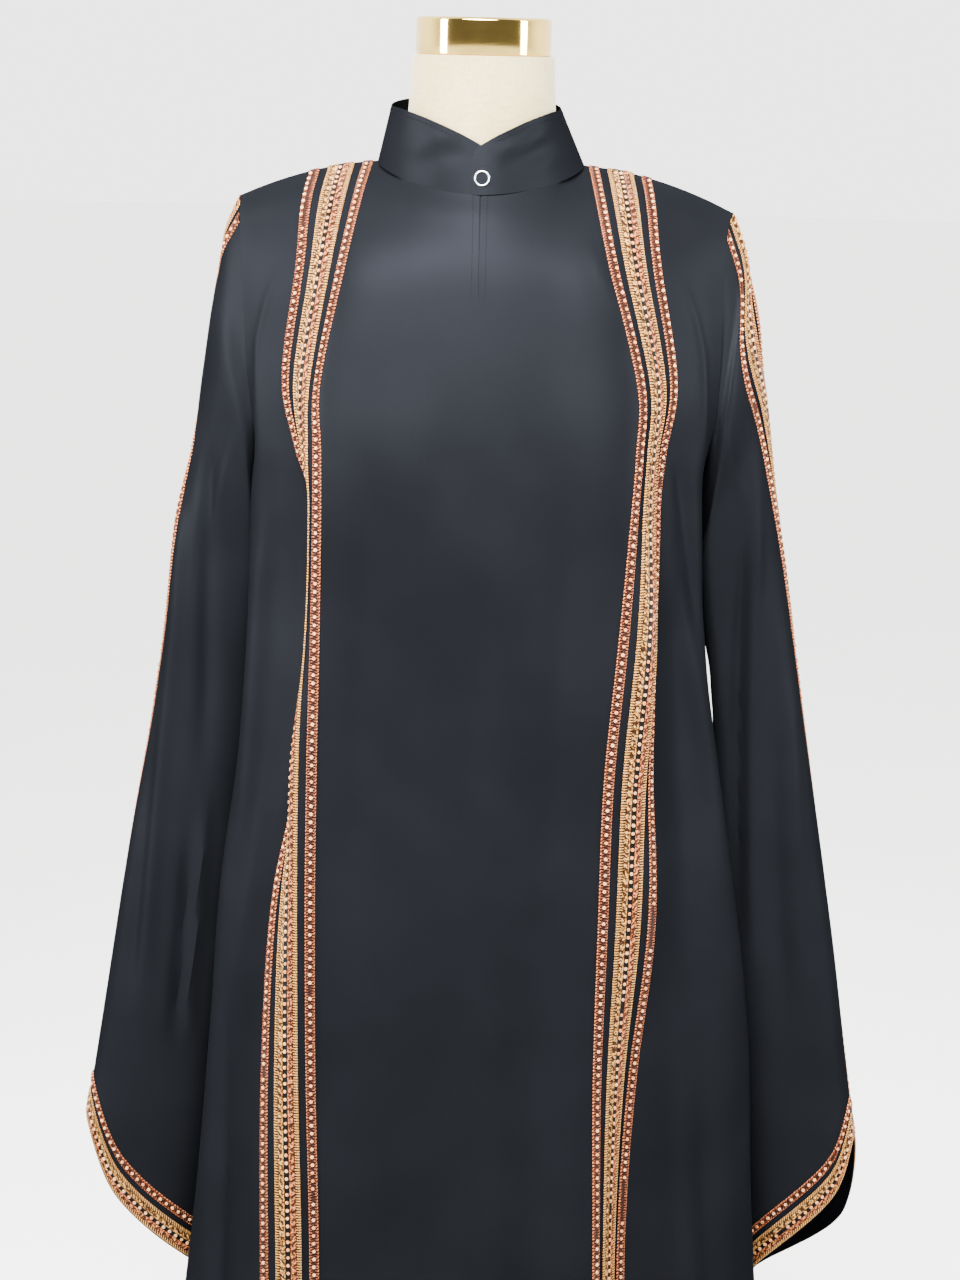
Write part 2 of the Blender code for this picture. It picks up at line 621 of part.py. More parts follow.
def collar_panel(front, back):
    edge, ways, body_normals, parts = neckline(front, back)
    count = len(edge)
    middle = count // 2
    base = edge + ways * SEAM_GAP * 1000.0
    top_line = through(COLLAR_TOP)
    top = np.zeros_like(base)
    sides = {"left": (range(0, middle + 1), -1.0), "right": (range(count - 1, middle - 1, -1), 1.0)}
    for side, (chosen, flip) in sides.items():
        chosen = list(chosen)
        share = lengths(base[chosen]) / lengths(base[chosen])[-1]
        spots = at_distance(top_line, share * lengths(top_line)[-1])
        top[chosen] = spots * (flip * COLLAR_WIDER[side], 1.0, 1.0)
    steps = np.linspace(0.0, 1.0, COLLAR_CELLS + 1)[:, None, None]
    grid = base[None] + steps * (top - base)[None]
    placket = COLLAR_UNDER_END / PLACKET
    under = grid[:, -1:] + placket * (grid[:, -2:-1] - grid[:, -1:])
    under[-1] += (under[-2] - under[-1]) * (0.0, COLLAR_END_DROP, COLLAR_END_DROP)
    over = grid[:, :1] + (grid[:, 1:2] - grid[:, :1]) * 0.5
    over[:, 0, 0] = COLLAR_OVER_END
    over[-1] += (over[-2] - over[-1]) * (0.0, COLLAR_END_DROP, COLLAR_END_DROP)
    grid = np.concatenate([under, grid, over], axis=1)[::-1][:, ::-1]
    collar = Panel(grid)
    shift = np.zeros(grid.shape[1])
    shift[-3:] = -COLLAR_STEP
    shift[:3] = COLLAR_STEP
    new_body, new_collar, _ = blended(body_normals, collar.normals[-1, 1:-1][::-1])
    collar.points = collar.points + collar.normals * shift[None, :, None]
    collar.normals[-1, 1:-1] = new_collar[::-1]
    start = 0
    for panel, chosen in parts:
        panel.normals[0, chosen] = new_body[start : start + len(chosen)]
        start += len(chosen)
    middle_back = (back.points.shape[1] - 1) // 2
    for flip in (1, -1):
        back.normals[0, middle_back + flip * BACK_NECK_CELLS] = front.normals[
            0, HALF_COLUMNS - 1 - NECK_COLUMN if flip > 0 else HALF_COLUMNS + NECK_COLUMN
        ]
    return collar


def snap_ring(collar):
    """The ring of the snap fastener, flat on the collar's upper end."""
    out, height = SNAP_PLACE
    columns = collar.points[:, 1:3]
    share = (out - columns[0, 1, 0]) / (columns[0, 0, 0] - columns[0, 1, 0])
    line = columns[:, 1] + share * (columns[:, 0] - columns[:, 1])
    spot = np.array([np.interp(height, line[::-1, 2], line[::-1, axis]) for axis in range(3)])
    normal = unit(collar.normals[1:3, 1:3].mean(axis=(0, 1)))
    side = unit(np.cross((0.0, 0.0, 1.0), normal))
    rise = np.cross(normal, side)
    centre = spot + normal * (SEAM_GAP * 1000.0 + 0.2 + SNAP_WIRE)
    turns = np.linspace(0.0, 2 * np.pi, SNAP_SIDES, endpoint=False)
    rounds = np.linspace(0.0, 2 * np.pi, 5, endpoint=False)
    points, faces = [], []
    for turn in turns:
        away = np.cos(turn) * side + np.sin(turn) * rise
        for angle in rounds:
            reach = SNAP_RADIUS + SNAP_WIRE * np.cos(angle)
            points.append((centre + away * reach + normal * SNAP_WIRE * np.sin(angle)) / 1000.0)
    for i in range(len(turns)):
        for j in range(len(rounds)):
            this, that = i * len(rounds), (i + 1) % len(turns) * len(rounds)
            k = (j + 1) % len(rounds)
            faces.append((this + j, that + j, that + k, this + k))
    return add_object("snap_ring", points, faces, "silver")


# Dress form and stand
def equal_row(line, neck_a, neck_b, shoulder_cells, neck_cells):
    """A row divided evenly between its ends and the neck's two lines."""
    along = lengths(line)
    a, b = along[neck_a], along[neck_b]
    places = [
        *np.linspace(FORM_ARM_INSET, a, shoulder_cells + 1)[:-1],
        *np.linspace(a, b, neck_cells + 1)[:-1],
        *np.linspace(b, along[-1] - FORM_ARM_INSET, shoulder_cells + 1),
    ]
    return at_distance(line, places)


def form_torso(front, back):
    """The form inside the garment: rings drawn in from the cloth, plain ones below, and the neck above."""
    shoulder_cells, neck_cells = FORM_SHOULDER_CELLS, FORM_NECK_CELLS
    middle = (back.points.shape[1] - 1) // 2
    necks = (
        (HALF_COLUMNS - 1 - NECK_COLUMN, HALF_COLUMNS + NECK_COLUMN),
        (middle - BACK_NECK_CELLS, middle + BACK_NECK_CELLS),
    )
    rows = [row for row in range(0, ARMPIT_ROW, 2) if front.points[row, HALF_COLUMNS, 2] > FORM_LOWEST_REST]
    rings = []
    for row in rows:
        clear = 1000.0 * WALL + FORM_GAP + FORM_EASE * row
        ring = []
        for panel, neck in zip((front, back), necks):
            by_neck = np.interp(np.abs(panel.points[row, :, 0]), FORM_NECK_OUT, (FORM_NECK_EASE, 0.0))
            line = panel.points[row] - panel.normals[row] * (clear + by_neck)[:, None]
            ring.append(equal_row(line, *neck, shoulder_cells, neck_cells))
        rings.append(np.concatenate(ring))
    count = 2 * shoulder_cells + neck_cells
    turn = np.linspace(np.pi, 2 * np.pi, count + 1)
    for height, wide, deep_front, deep_back in FORM_RINGS:
        ahead = [(wide * np.cos(a), deep_front * np.sin(a), height) for a in turn]
        behind = [(wide * np.cos(a), deep_back * np.sin(a), height) for a in turn - np.pi]
        rings.append(np.array([*ahead, *behind]))
    grid = np.array(rings)
    across = 2 * (count + 1)
    for side in (slice(0, shoulder_cells + 1), slice(shoulder_cells + neck_cells, count + 1)):
        ahead = grid[0, : count + 1][side]
        behind = grid[0, count + 1 :][::-1][side]
        shared = (ahead + behind) / 2
        grid[0, : count + 1][side] = shared
        grid[0, count + 1 :][::-1][side] = shared
    mesh = bmesh.new()
    corners = [[mesh.verts.new(point / 1000.0) for point in row] for row in grid]
    for i in range(len(grid) - 1):
        for j in range(across):
            k = (j + 1) % across
            mesh.faces.new((corners[i][j], corners[i + 1][j], corners[i + 1][k], corners[i][k]))
    mesh.faces.new(corners[-1][::-1])
    ahead = corners[0][shoulder_cells : shoulder_cells + neck_cells + 1]
    first = count + 1 + shoulder_cells
    behind = corners[0][first : first + neck_cells + 1]
    below = [*ahead, *behind[1:-1]]
    angles = [np.arctan2(v.co.y, v.co.x) for v in below]
    for wide, deep_front, deep_back, height in NECK_ROUND:
        above = []
        for angle in angles:
            deep = deep_front if np.sin(angle) < 0 else deep_back
            spot = (wide * np.cos(angle), deep * np.sin(angle), height)
            above.append(mesh.verts.new(np.array(spot) / 1000.0))
        for j in range(len(below)):
            k = (j + 1) % len(below)
            mesh.faces.new((below[j], below[k], above[k], above[j]))
        below = above
    mesh.faces.new(below)
    bmesh.ops.remove_doubles(mesh, verts=mesh.verts[:], dist=FORM_WELD)
    bmesh.ops.dissolve_degenerate(mesh, edges=mesh.edges[:], dist=1e-5)
    bmesh.ops.recalc_face_normals(mesh, faces=mesh.faces[:])
    data = bpy.data.meshes.new("form_torso")
    mesh.to_mesh(data)
    mesh.free()
    data.shade_smooth()
    data.materials.append(finish("linen"))
    piece = bpy.data.objects.new("form_torso", data)
    bpy.context.scene.collection.objects.link(piece)
    return piece


def turned(name, profile, surface):
    """A solid turned about the stand's axis, from (radius, height) corners, bottom to top."""
    points, faces = [], []
    for radius, height in profile:
        for k in range(ROUND_SIDES):
            turn = 2 * np.pi * k / ROUND_SIDES
            points.append((radius * np.cos(turn) / 1000, radius * np.sin(turn) / 1000, height / 1000))
    for i in range(len(profile) - 1):
        for k in range(ROUND_SIDES):
            nxt = (k + 1) % ROUND_SIDES
            low, high = i * ROUND_SIDES, (i + 1) * ROUND_SIDES
            faces.append((low + k, low + nxt, high + nxt, high + k))
    faces.append(tuple(range(ROUND_SIDES))[::-1])
    faces.append(tuple(range((len(profile) - 1) * ROUND_SIDES, len(profile) * ROUND_SIDES)))
    piece = add_object(name, points, faces, surface)
    piece.data.set_sharp_from_angle(angle=0.6)
    return piece


def build():
    clear_scene()
    front, back = body_panels()
    sleeves = {side: sleeve_panel(front, back, side) for side in ("left", "right")}
    collar = collar_panel(front, back)
    form_torso(front, back)
    for panel in (front, back):
        seamed(panel, np.abs(panel.points[0, :, 0]) > NECK_SIDE[0] - 0.1)
    keep = np.ones((len(front.points) - 1, front.points.shape[1] - 1), bool)
    slit = front.points[1:, HALF_COLUMNS, 2] > SLIT_END_Z
    keep[slit, HALF_COLUMNS - 1] = False
    front.wall("front", keep)
    back.wall("back")
    collar.wall("collar")
    snap_ring(collar)
    rows = np.arange(len(front.points))
    for side in ("left", "right"):
        for braid, (first, last) in FRONT_BRAIDS.items():
            chosen = np.arange(NECK_COLUMN + first, NECK_COLUMN + last + 1)
            chosen = HALF_COLUMNS + chosen if side == "right" else HALF_COLUMNS - 1 - chosen[::-1]
            surface = "wide braid" if braid == "wide" else "narrow braid"
            front.strip(f"front_{side}_{braid}_braid", rows, chosen, surface)
        sleeve = sleeves[side]
        sleeve.wall(f"sleeve_{side}")
        sleeve_braids(sleeve, side)
    turned("neck_cap", CAP_PROFILE, "gold")
    turned("pole", POLE_PROFILE, "steel")
    turned("base", BASE_PROFILE, "steel")


def sleeve_braids(sleeve, side):
    count = sleeve.points.shape[1]
    arm_rows = np.arange(0, len(sleeve.points) - len(CUFF_BANDS) + 1)
    for braid, (first, last) in {"front": (3, 5), "wide": (-2, 2), "back": (-5, -3)}.items():
        places = np.arange(first, last + 1)
        if side == "right":
            places = -places[::-1]
        surface = "wide braid" if braid == "wide" else "narrow braid"
        sleeve.strip(f"arm_{side}_{braid}_braid", arm_rows, places % count, surface)
    last_row = len(sleeve.points)
    around = np.arange(count)
    bands = {"narrow": slice(last_row - 6, last_row - 4), "wide": slice(last_row - 4, last_row - 1)}
    for braid, rows in bands.items():
        sleeve.strip(f"cuff_{side}_{braid}_braid", np.arange(last_row)[rows], around, f"{braid} braid")


build()
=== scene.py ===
"""The looks of an abaya hanging on a dress form.

Lengths in the tables are millimetres and every mesh is in metres, +Z up, with the front towards -Y and +X to
the right as one faces the garment. Each panel is a grid of points drawn through the same section tables as
the part, in finer steps. Creases, braids, beads and stitches are then made from the panel's own points.
"""

from collections import namedtuple

import bmesh
import bpy
import numpy as np
from mathutils import Matrix, Vector


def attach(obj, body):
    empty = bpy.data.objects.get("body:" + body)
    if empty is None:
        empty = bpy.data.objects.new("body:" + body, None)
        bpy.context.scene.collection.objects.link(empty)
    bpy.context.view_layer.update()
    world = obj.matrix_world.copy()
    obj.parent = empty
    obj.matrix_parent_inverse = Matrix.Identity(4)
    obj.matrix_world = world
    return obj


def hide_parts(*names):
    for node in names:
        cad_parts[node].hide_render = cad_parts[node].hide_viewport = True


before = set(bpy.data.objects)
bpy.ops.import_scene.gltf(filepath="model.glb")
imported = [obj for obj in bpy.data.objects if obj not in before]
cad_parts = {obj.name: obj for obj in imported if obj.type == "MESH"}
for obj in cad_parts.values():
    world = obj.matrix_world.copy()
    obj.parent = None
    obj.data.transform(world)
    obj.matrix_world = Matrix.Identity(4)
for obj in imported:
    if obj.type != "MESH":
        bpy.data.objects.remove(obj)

# The objects that a new Blender file starts with are not wanted
for name in ("Cube", "Light", "Camera"):
    if name in bpy.data.objects:
        bpy.data.objects.remove(bpy.data.objects[name])
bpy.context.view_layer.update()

# Camera, as the photograph was taken: its place in metres, lens and sensor in millimetres, turns in degrees
CAMERA_PLACE = (0.0, -2.24, 1.515)
CAMERA_LENS, CAMERA_SENSOR = 80.2, 36.0
CAMERA_TURN, CAMERA_TILT, CAMERA_ROLL = -0.2, 11.9, 1.34

# Cloth: its wall, the gap along a seam, and how alike two walls' normals are where they start to run on into
# each other and where they do so fully
CLOTH_WALL, SEAM_GAP = 0.9, 0.06
BLEND_FROM, BLEND_FULL = -0.3, 0.2

# Neckline, as (out, depth, height), and the shoulder seam's slope and droop from there. Then where the
# front's second line runs between its centre and its trio, and the neck slit: its lower end and the width of
# the cell on each side of it
NECK_FRONT = (0.0, -74.0, 1400.0)
NECK_FRONT_CORNER = (54.0, -50.0, 1408.0)
NECK_SIDE = (80.0, 0.0, 1421.0)
NECK_BACK_CORNER = (54.0, 44.0, 1426.0)
NECK_BACK = (0.0, 64.0, 1430.0)
SHOULDER_SLOPE = 0.08
SHOULDER_DROOP = 0.0018
MIDDLE_OUT, MIDDLE_DEPTH = 0.52, 0.28
SLIT_END_Z = 1322.0
PLACKET = 10.0

# Braids: how far each mark lies from the front trio's inner edge, from the middle of the sleeve's trio and
# from the cuff's hem, and the marks at each braid's edges
FRONT_TRIO_MARKS = (0.0, 3.5, 7.5, 11.5, 18.0, 25.0, 32.0, 39.0, 45.5, 49.5, 53.5)
FRONT_BRAIDS = {"inner": (1, 3), "wide": (4, 7), "outer": (8, 10)}
ARM_TRIO_MARKS = (0.0, 5.25, 10.5, 17.5, 21.5, 25.5)
ARM_BRAIDS = {"front": (3, 5), "wide": (-2, 2), "back": (-5, -3)}
CUFF_MARKS = (38.0, 36.5, 28.5, 22.5, 12.0, 1.2, 0.0)
CUFF_BRAIDS = {"narrow": (5, 4), "wide": (3, 1)}

# The sleeve's cap: the armhole's heights between which it fills out, how far down to the first ring it is
# fullest, by how much, and how far the trio leans to the front there
CAP_HEIGHTS = (1270.0, 1350.0)
CAP_SHARE = 0.30
CAP_OUT = {"left": 5.0, "right": 7.0}
CAP_LEAN = {"left": -8.0, "right": 28.0}

# How many cells each stretch is divided into, and how finely the curves are read first
CENTRE_CELLS, FLANK_CELLS, ARMHOLE_CELLS, COLLAR_CELLS = 20, 28, 40, 12
SKIRT_CELLS = (14, 14, 16, 18, 18, 24, 24, 20)
BACK_SHOULDER_CELLS, BACK_NECK_CELLS = 17, 20
SLEEVE_ROWS, SLEEVE_EVENNESS = 100, 1.15
TRIO_PARTS, ARM_PARTS, CUFF_PARTS = 2, 2, 3
SAMPLES, ARMHOLE_SAMPLES, SLEEVE_SAMPLES = 16, 400, 40

# Section tables
FrontRow = namedtuple("FrontRow", "z rise centre inner crest trim ridge edge seam")
BackRow = namedtuple("BackRow", "z rise seam flank hollow pleat blade spine centre")
SleeveRow = namedtuple("SleeveRow", "lean over front fore under hind back")

# The two front tables: z, how much of the neckline's rise the row keeps, the depth at the centre front, then
# (out from the centre, depth) of the line by the trio's inner edge, the fold's crest, the line by its outer
# edge, the ridge beside it, the edge that shows over the sleeve, and the side seam or armhole
FRONT_LEFT = (
    FrontRow(1380, 0.7, -86, (87, -45), (101, -39), (131, -31), (152, -24), (170, -19), (186, -14)),
    FrontRow(1340, 0.35, -103, (97, -86), (109, -78), (135, -57), (154, -44), (170, -34), (183, -26)),
    FrontRow(1260, 0.08, -122, (114, -109), (124, -97), (146, -70), (158, -60), (168, -52), (177, -42)),
    FrontRow(1210, 0.0, -131, (112, -120), (125, -110), (137, -77), (153, -66), (167, -56), (171, -38)),
    FrontRow(1160, 0.0, -133, (111, -125), (123, -117), (122, -82), (148, -66), (172, -47), (166, 0)),
    FrontRow(1060, 0.0, -132, (111, -127), (125, -119), (119, -85), (148, -62), (174, -44), (158, 6)),
    FrontRow(960, 0.0, -133, (112, -130), (134, -122), (131, -88), (156, -64), (181, -44), (160, 8)),
    FrontRow(850, 0.0, -137, (112, -134), (131, -130), (148, -106), (171, -66), (196, -42), (172, 12)),
    FrontRow(720, 0.0, -145, (110, -141), (127, -138), (154, -120), (182, -74), (205, -42), (182, 16)),
    FrontRow(580, 0.0, -155, (105, -151), (122, -149), (154, -136), (190, -86), (216, -44), (192, 18)),
    FrontRow(400, 0.0, -168, (101, -165), (118, -164), (151, -152), (203, -98), (236, -46), (214, 18)),
    FrontRow(200, 0.0, -183, (97, -181), (113, -180), (146, -169), (215, -112), (262, -46), (244, 16)),
    FrontRow(30, 0.0, -196, (93, -194), (109, -193), (142, -184), (225, -124), (286, -46), (270, 14)),
)
FRONT_RIGHT = (
    FrontRow(1380, 0.7, -86, (85, -46), (117, -36), (132, -31), (155, -24), (175, -19), (192, -14)),
    FrontRow(1340, 0.35, -103, (95, -87), (123, -69), (141, -57), (160, -44), (176, -34), (190, -24)),
    FrontRow(1260, 0.08, -122, (118, -107), (141, -82), (151, -70), (165, -61), (178, -53), (188, -42)),
    FrontRow(1210, 0.0, -131, (118, -119), (137, -93), (143, -79), (160, -66), (175, -57), (184, -38)),
    FrontRow(1160, 0.0, -133, (115, -125), (136, -99), (140, -85), (158, -68), (177, -51), (174, 0)),
    FrontRow(1060, 0.0, -132, (108, -129), (140, -117), (141, -102), (158, -68), (184, -45), (170, 6)),
    FrontRow(960, 0.0, -133, (101, -131), (134, -122), (141, -109), (162, -70), (195, -42), (174, 8)),
    FrontRow(850, 0.0, -137, (100, -135), (131, -125), (144, -119), (171, -84), (217, -42), (190, 12)),
    FrontRow(720, 0.0, -145, (100, -142), (125, -120), (135, -109), (173, -98), (234, -44), (208, 16)),
    FrontRow(580, 0.0, -155, (104, -152), (123, -124), (131, -111), (185, -104), (242, -46), (218, 18)),
    FrontRow(400, 0.0, -168, (108, -165), (127, -138), (136, -125), (196, -117), (258, -46), (236, 18)),
    FrontRow(200, 0.0, -183, (112, -181), (131, -154), (141, -141), (208, -131), (276, -46), (258, 16)),
    FrontRow(30, 0.0, -196, (115, -194), (135, -167), (145, -154), (218, -143), (292, -46), (276, 14)),
)

# The back: side seam or armhole, flank, hollow, pleat, shoulder blade, beside the spine, centre back
BACK = (
    BackRow(1380, 0.7, (185, 14), (164, 26), (140, 36), (112, 46), (85, 54), (46, 72), 79),
    BackRow(1340, 0.35, (181, 27), (161, 44), (138, 58), (112, 69), (85, 78), (44, 90), 94),
    BackRow(1260, 0.08, (174, 43), (158, 62), (136, 79), (110, 91), (83, 99), (42, 107), 110),
    BackRow(1210, 0.0, (170, 38), (158, 64), (136, 84), (110, 98), (82, 105), (41, 111), 113),
    BackRow(1160, 0.0, (170, 0), (164, 48), (138, 80), (112, 102), (81, 105), (40, 113), 113),
    BackRow(1060, 0.0, (164, 6), (162, 54), (134, 80), (112, 108), (80, 104), (40, 115), 112),
    BackRow(960, 0.0, (166, 8), (166, 56), (138, 82), (114, 114), (80, 105), (40, 118), 112),
    BackRow(850, 0.0, (180, 12), (176, 60), (146, 86), (120, 124), (82, 109), (42, 124), 115),
    BackRow(720, 0.0, (194, 16), (186, 62), (156, 90), (128, 136), (86, 115), (44, 134), 122),
    BackRow(580, 0.0, (204, 18), (198, 66), (168, 97), (138, 150), (90, 124), (46, 146), 131),
    BackRow(400, 0.0, (224, 18), (222, 76), (184, 108), (148, 166), (96, 136), (50, 160), 143),
    BackRow(200, 0.0, (250, 16), (252, 88), (204, 120), (160, 184), (104, 150), (54, 177), 158),
    BackRow(30, 0.0, (272, 14), (280, 98), (222, 130), (170, 200), (110, 162), (58, 191), 171),
)

# How far out each line of the tables meets the shoulder seam, how much of the side seam's shift each of the
# back's lines takes, and the row at the armpit
FRONT_TOP_OUT = {"left": (96, 128, 150, 171, 186), "right": (114, 129, 152, 176, 197)}
BACK_TOP_OUT = {"left": (186, 163, 138, 110), "right": (197, 168, 139, 110)}
BACK_SHIFTS = (1.0, 0.8, 0.5, 0.2)
ARMPIT_LEVEL = 5

# The sleeves below the armhole, each row one ring: how far the trio leans to the front, then (out, depth,
# height) of the overarm, the front, the fore edge by the body, the underarm, the hind edge and the back
SLEEVE_LEFT = (
    SleeveRow(
        -28, (204, 4, 1330), (198, -27, 1290), (178, -42, 1208),
        (171, 2, 1134), (180, 50, 1208), (196, 36, 1290),
    ),
    SleeveRow(
        -40, (216, 7, 1252), (207, -22, 1212), (175, -24, 1136),
        (168, 12, 1076), (182, 70, 1140), (210, 46, 1212),
    ),
    SleeveRow(
        -14, (235, 10, 1135), (219, -14, 1100), (173, -6, 1045),
        (167, 24, 1000), (182, 92, 1045), (228, 60, 1100),
    ),
    SleeveRow(
        -34, (256, 14, 978), (236, -8, 946), (188, -2, 900),
        (182, 34, 866), (194, 108, 900), (246, 68, 944),
    ),
    SleeveRow(
        -42, (284, 16, 810), (260, -7, 772), (203, -1, 722),
        (196, 42, 694), (208, 118, 722), (272, 74, 770),
    ),
    SleeveRow(
        -42, (312, 16, 628), (288, -6, 566), (223, 0, 505),
        (213, 46, 488), (224, 120, 505), (292, 78, 572),
    ),
)
SLEEVE_RIGHT = (
    SleeveRow(
        24, (216, -3, 1322), (203, -33, 1282), (190, -43, 1206),
        (181, 2, 1134), (190, 50, 1206), (208, 30, 1286),
    ),
    SleeveRow(
        8, (229, 0, 1242), (218, -24, 1204), (186, -28, 1136),
        (186, 12, 1076), (199, 70, 1138), (222, 40, 1204),
    ),
    SleeveRow(
        -17, (247, 5, 1128), (232, -15, 1096), (198, -8, 1040),
        (202, 26, 996), (211, 92, 1040), (238, 54, 1096),
    ),
    SleeveRow(
        -34, (273, 10, 970), (254, -8, 938), (203, 0, 896),
        (205, 36, 862), (215, 108, 894), (262, 64, 936),
    ),
    SleeveRow(
        -42, (303, 14, 802), (282, -7, 764), (226, 0, 718),
        (218, 42, 690), (226, 116, 712), (290, 72, 760),
    ),
    SleeveRow(
        -42, (331, 16, 620), (315, -5, 577), (252, 0, 510),
        (240, 48, 466), (264, 108, 462), (330, 60, 532),
    ),
)

# The collar's top edge: (out, depth, height) from the centre front round to the centre back
COLLAR_TOP = (
    (0, -66, 1437), (10, -65, 1443), (22, -62, 1449), (38, -54, 1456),
    (52, -40, 1461), (62, -6, 1464), (52, 34, 1468), (30, 50, 1470), (0, 56, 1471),
)

# How much wider each side of the collar stands and how steeply its base leaves the neckline. Then its lap:
# how far its ends part and over what length, how far the edge on top rolls in, where that edge lies at each
# height from the base, how its corners are cut, and how far the end below reaches
COLLAR_WIDER, COLLAR_RISE = {"left": 1.13, "right": 0.98}, 1.7
COLLAR_STEP, COLLAR_LAP_END, COLLAR_LAP_EASE, COLLAR_EDGE_ROLL = 1.15, 46.0, 20.0, 0.95
COLLAR_OVER_END = (-6.0, -8.0, -7.0, -3.5)
COLLAR_END_DROP, COLLAR_UNDER_END = 0.25, 8.0

# The snap's ring: its middle (out, height), its wire's profile (radius, lift), its sides, and among how many
# columns from the collar's lapped end it lies
SNAP_PLACE = (1.0, 1412.5)
SNAP_PROFILE = ((6.0, 0.3), (6.0, 0.9), (5.6, 1.4), (5.1, 1.3), (4.7, 0.9), (4.6, 0.45), (5.4, 0.3))
SNAP_SIDES, LAP_COLUMNS = 40, 8

# The form: the rings of its neck (half width, half depth in front and behind, height) from the foot up, the
# cover's thickness there, its turned edge and its wall, then the softening of the torso, in metres and steps
NECK_RINGS = (
    (70.0, 62.0, 58.0, 1405.0), (64.0, 60.0, 56.0, 1425.0),
    (58.0, 57.0, 52.0, 1452.0), (54.5, 54.5, 50.0, 1502.5),
)
NECK_ROWS, NECK_COVER, NECK_EDGE_RISE, NECK_EDGE_IN, NECK_EDGE_DROP = 24, 0.25, 0.2, 2.0, 0.6
NECK_INSIDE = 0.97
FORM_VOXEL, FORM_SMOOTHINGS, FORM_SMOOTHING = 0.008, 4, 0.5

# The stand: turned profiles as (radius, height), how far a corner is rounded off, and from what angle in
# radians an edge stays sharp
CAP_PROFILE = ((51.4, 1502.8), (52.2, 1503.6), (52.2, 1529.4), (50.6, 1531.0))
POLE_PROFILE = ((16.0, 60.3), (16.0, 799.7))
BASE_PROFILE = (
    (163.0, 0.0), (165.0, 2.0), (165.0, 6.0), (162.0, 8.0), (30.0, 15.0), (22.0, 20.0), (22.0, 60.0),
)
ROUND_SIDES, ROUND_OFF, SHARP_ANGLE = 72, 0.8, 0.7


def finer(marks, parts):
    """The marks with each stretch between them divided into equal parts."""
    places = np.arange((len(marks) - 1) * parts + 1) / parts
    return np.interp(places, np.arange(len(marks)), marks)


FRONT_TRIO = finer(FRONT_TRIO_MARKS, TRIO_PARTS)
ARM_TRIO = finer(ARM_TRIO_MARKS, ARM_PARTS)
CUFF_BANDS = finer(CUFF_MARKS, CUFF_PARTS)

# Studio: the floor's rings in metres, the world's colour, its strength towards the front and the back and
# where the one fades into the other, the lamps in metres, radians and watts, and the sun overhead
FLOOR_RINGS, FLOOR_SIDES = (0.001, 0.6, 1.5, 3.0, 6.0, 12.0, 24.0), 64
WORLD_COLOUR, WORLD_FRONT, WORLD_BACK, WORLD_FADE = (0.995, 1.0, 0.985), 0.20, 3.5, (-0.5, 0.35)
Lamp = namedtuple("Lamp", "name place towards size spread power")
LAMPS = (
    Lamp("key", (-0.2, -1.3, 2.5), (0.0, -0.1, 1.40), (1.6, 0.8), 1.05, 68.0),
    Lamp("left", (-2.2, -0.75, 1.7), (-0.25, 0.0, 1.1), (0.5, 1.2), 1.6, 48.0),
    Lamp("right", (2.2, -0.75, 1.7), (0.25, 0.0, 1.1), (0.5, 1.2), 1.6, 32.0),
)
SUN_STRENGTH, SUN_TILT, SUN_SOFTNESS = 5.2, -0.30, 0.5

# Braids: the pitches of beads and rungs, a bead's rows and the row that it sits on. Then half of each
# profile: spots with their place across, their height, and how much and when it swells with each bead
TRACK_MAP = "track"
BEAD_PITCH, RUNG_PITCH = 6.4, 2.13
ROWS_PER_BEAD, BEAD_STEP = 4, 3
Spot = namedtuple("Spot", "across height swell lag")
HALF_PROFILES = {
    "wide": (
        (10.5, 0.20, 0.0, 0.0), (9.7, 1.15, 0.0, 0.0), (9.0, 0.75, 0.0, 0.0), (8.2, 1.15, 0.0, 0.0),
        (7.2, 0.50, 0.0, 0.0), (5.4, 1.15, 0.15, 0.50), (4.0, 1.20, 0.20, 0.65), (2.2, 0.95, 0.20, 0.75),
        (0.0, 0.55, 0.25, 0.75),
    ),
    "narrow": (
        (4.0, 0.20, 0.0, 0.0), (3.4, 1.00, 0.0, 0.0), (2.5, 0.60, 0.0, 0.0), (1.3, 0.70, 0.15, 0.75),
        (0.0, 0.65, 0.20, 0.75),
    ),
}
BRAID_PROFILES = {
    kind: [Spot(-spot[0], *spot[1:]) for spot in half] + [Spot(*spot) for spot in half[-2::-1]]
    for kind, half in HALF_PROFILES.items()
}
# How far the relief and its underside stand off the cloth, in millimetres
BRAID_LIFT, BRAID_UNDER = 0.15, 0.12

# Beads: the profile (radius, height) from the foot in to the middle, how high they sit, how far they stray
# and how their sizes differ
BEAD_PROFILE = ((1.35, -0.2), (1.5, 0.45), (1.3, 0.95), (0.85, 1.1), (0.35, 0.85), (0.0, 0.7))
BEAD_SIDES = 8
BEAD_SEATS = {"wide": 0.75, "narrow": 0.85}
BEAD_STRAY, BEAD_SIZES = 0.15, (0.93, 1.07)
# The share of beads missing, the heights between which a row has none, and how far a row lies to one side
# above a height
BEADS_MISSING = 0.025
BEADLESS = {
    "front_right_outer_beads": ((826, 858), (600, 630)),
    "front_left_inner_beads": ((400, 430),),
}
BEAD_SHIFTS = {
    "front_right_inner_braid": (1.5, 1205.0),
    "front_right_outer_braid": (1.5, 1230.0),
    "front_left_inner_braid": (-0.8, 1260.0),
    "front_left_outer_braid": (-2.3, 1372.0),
}

# Stitches: pitch, half sizes along, across and up, how far they lie above the cloth, the sides and rings of
# each, and how far in from each edge they run
STITCH_PITCH, STITCH_SIZE, STITCH_LIFT = 3.4, (1.15, 0.28, 0.2), 0.1
STITCH_SIDES, STITCH_RINGS = 5, 3
COLLAR_STITCH_INSET, COLLAR_END_INSET, SLIT_STITCH_INSET = 4.0, 3.5, 5.0

# The hem's fold: its depth, its step and the width over which the step fades
HEM_DEPTH, HEM_STEP, HEM_EASE = 16.0, 0.35, 3.0

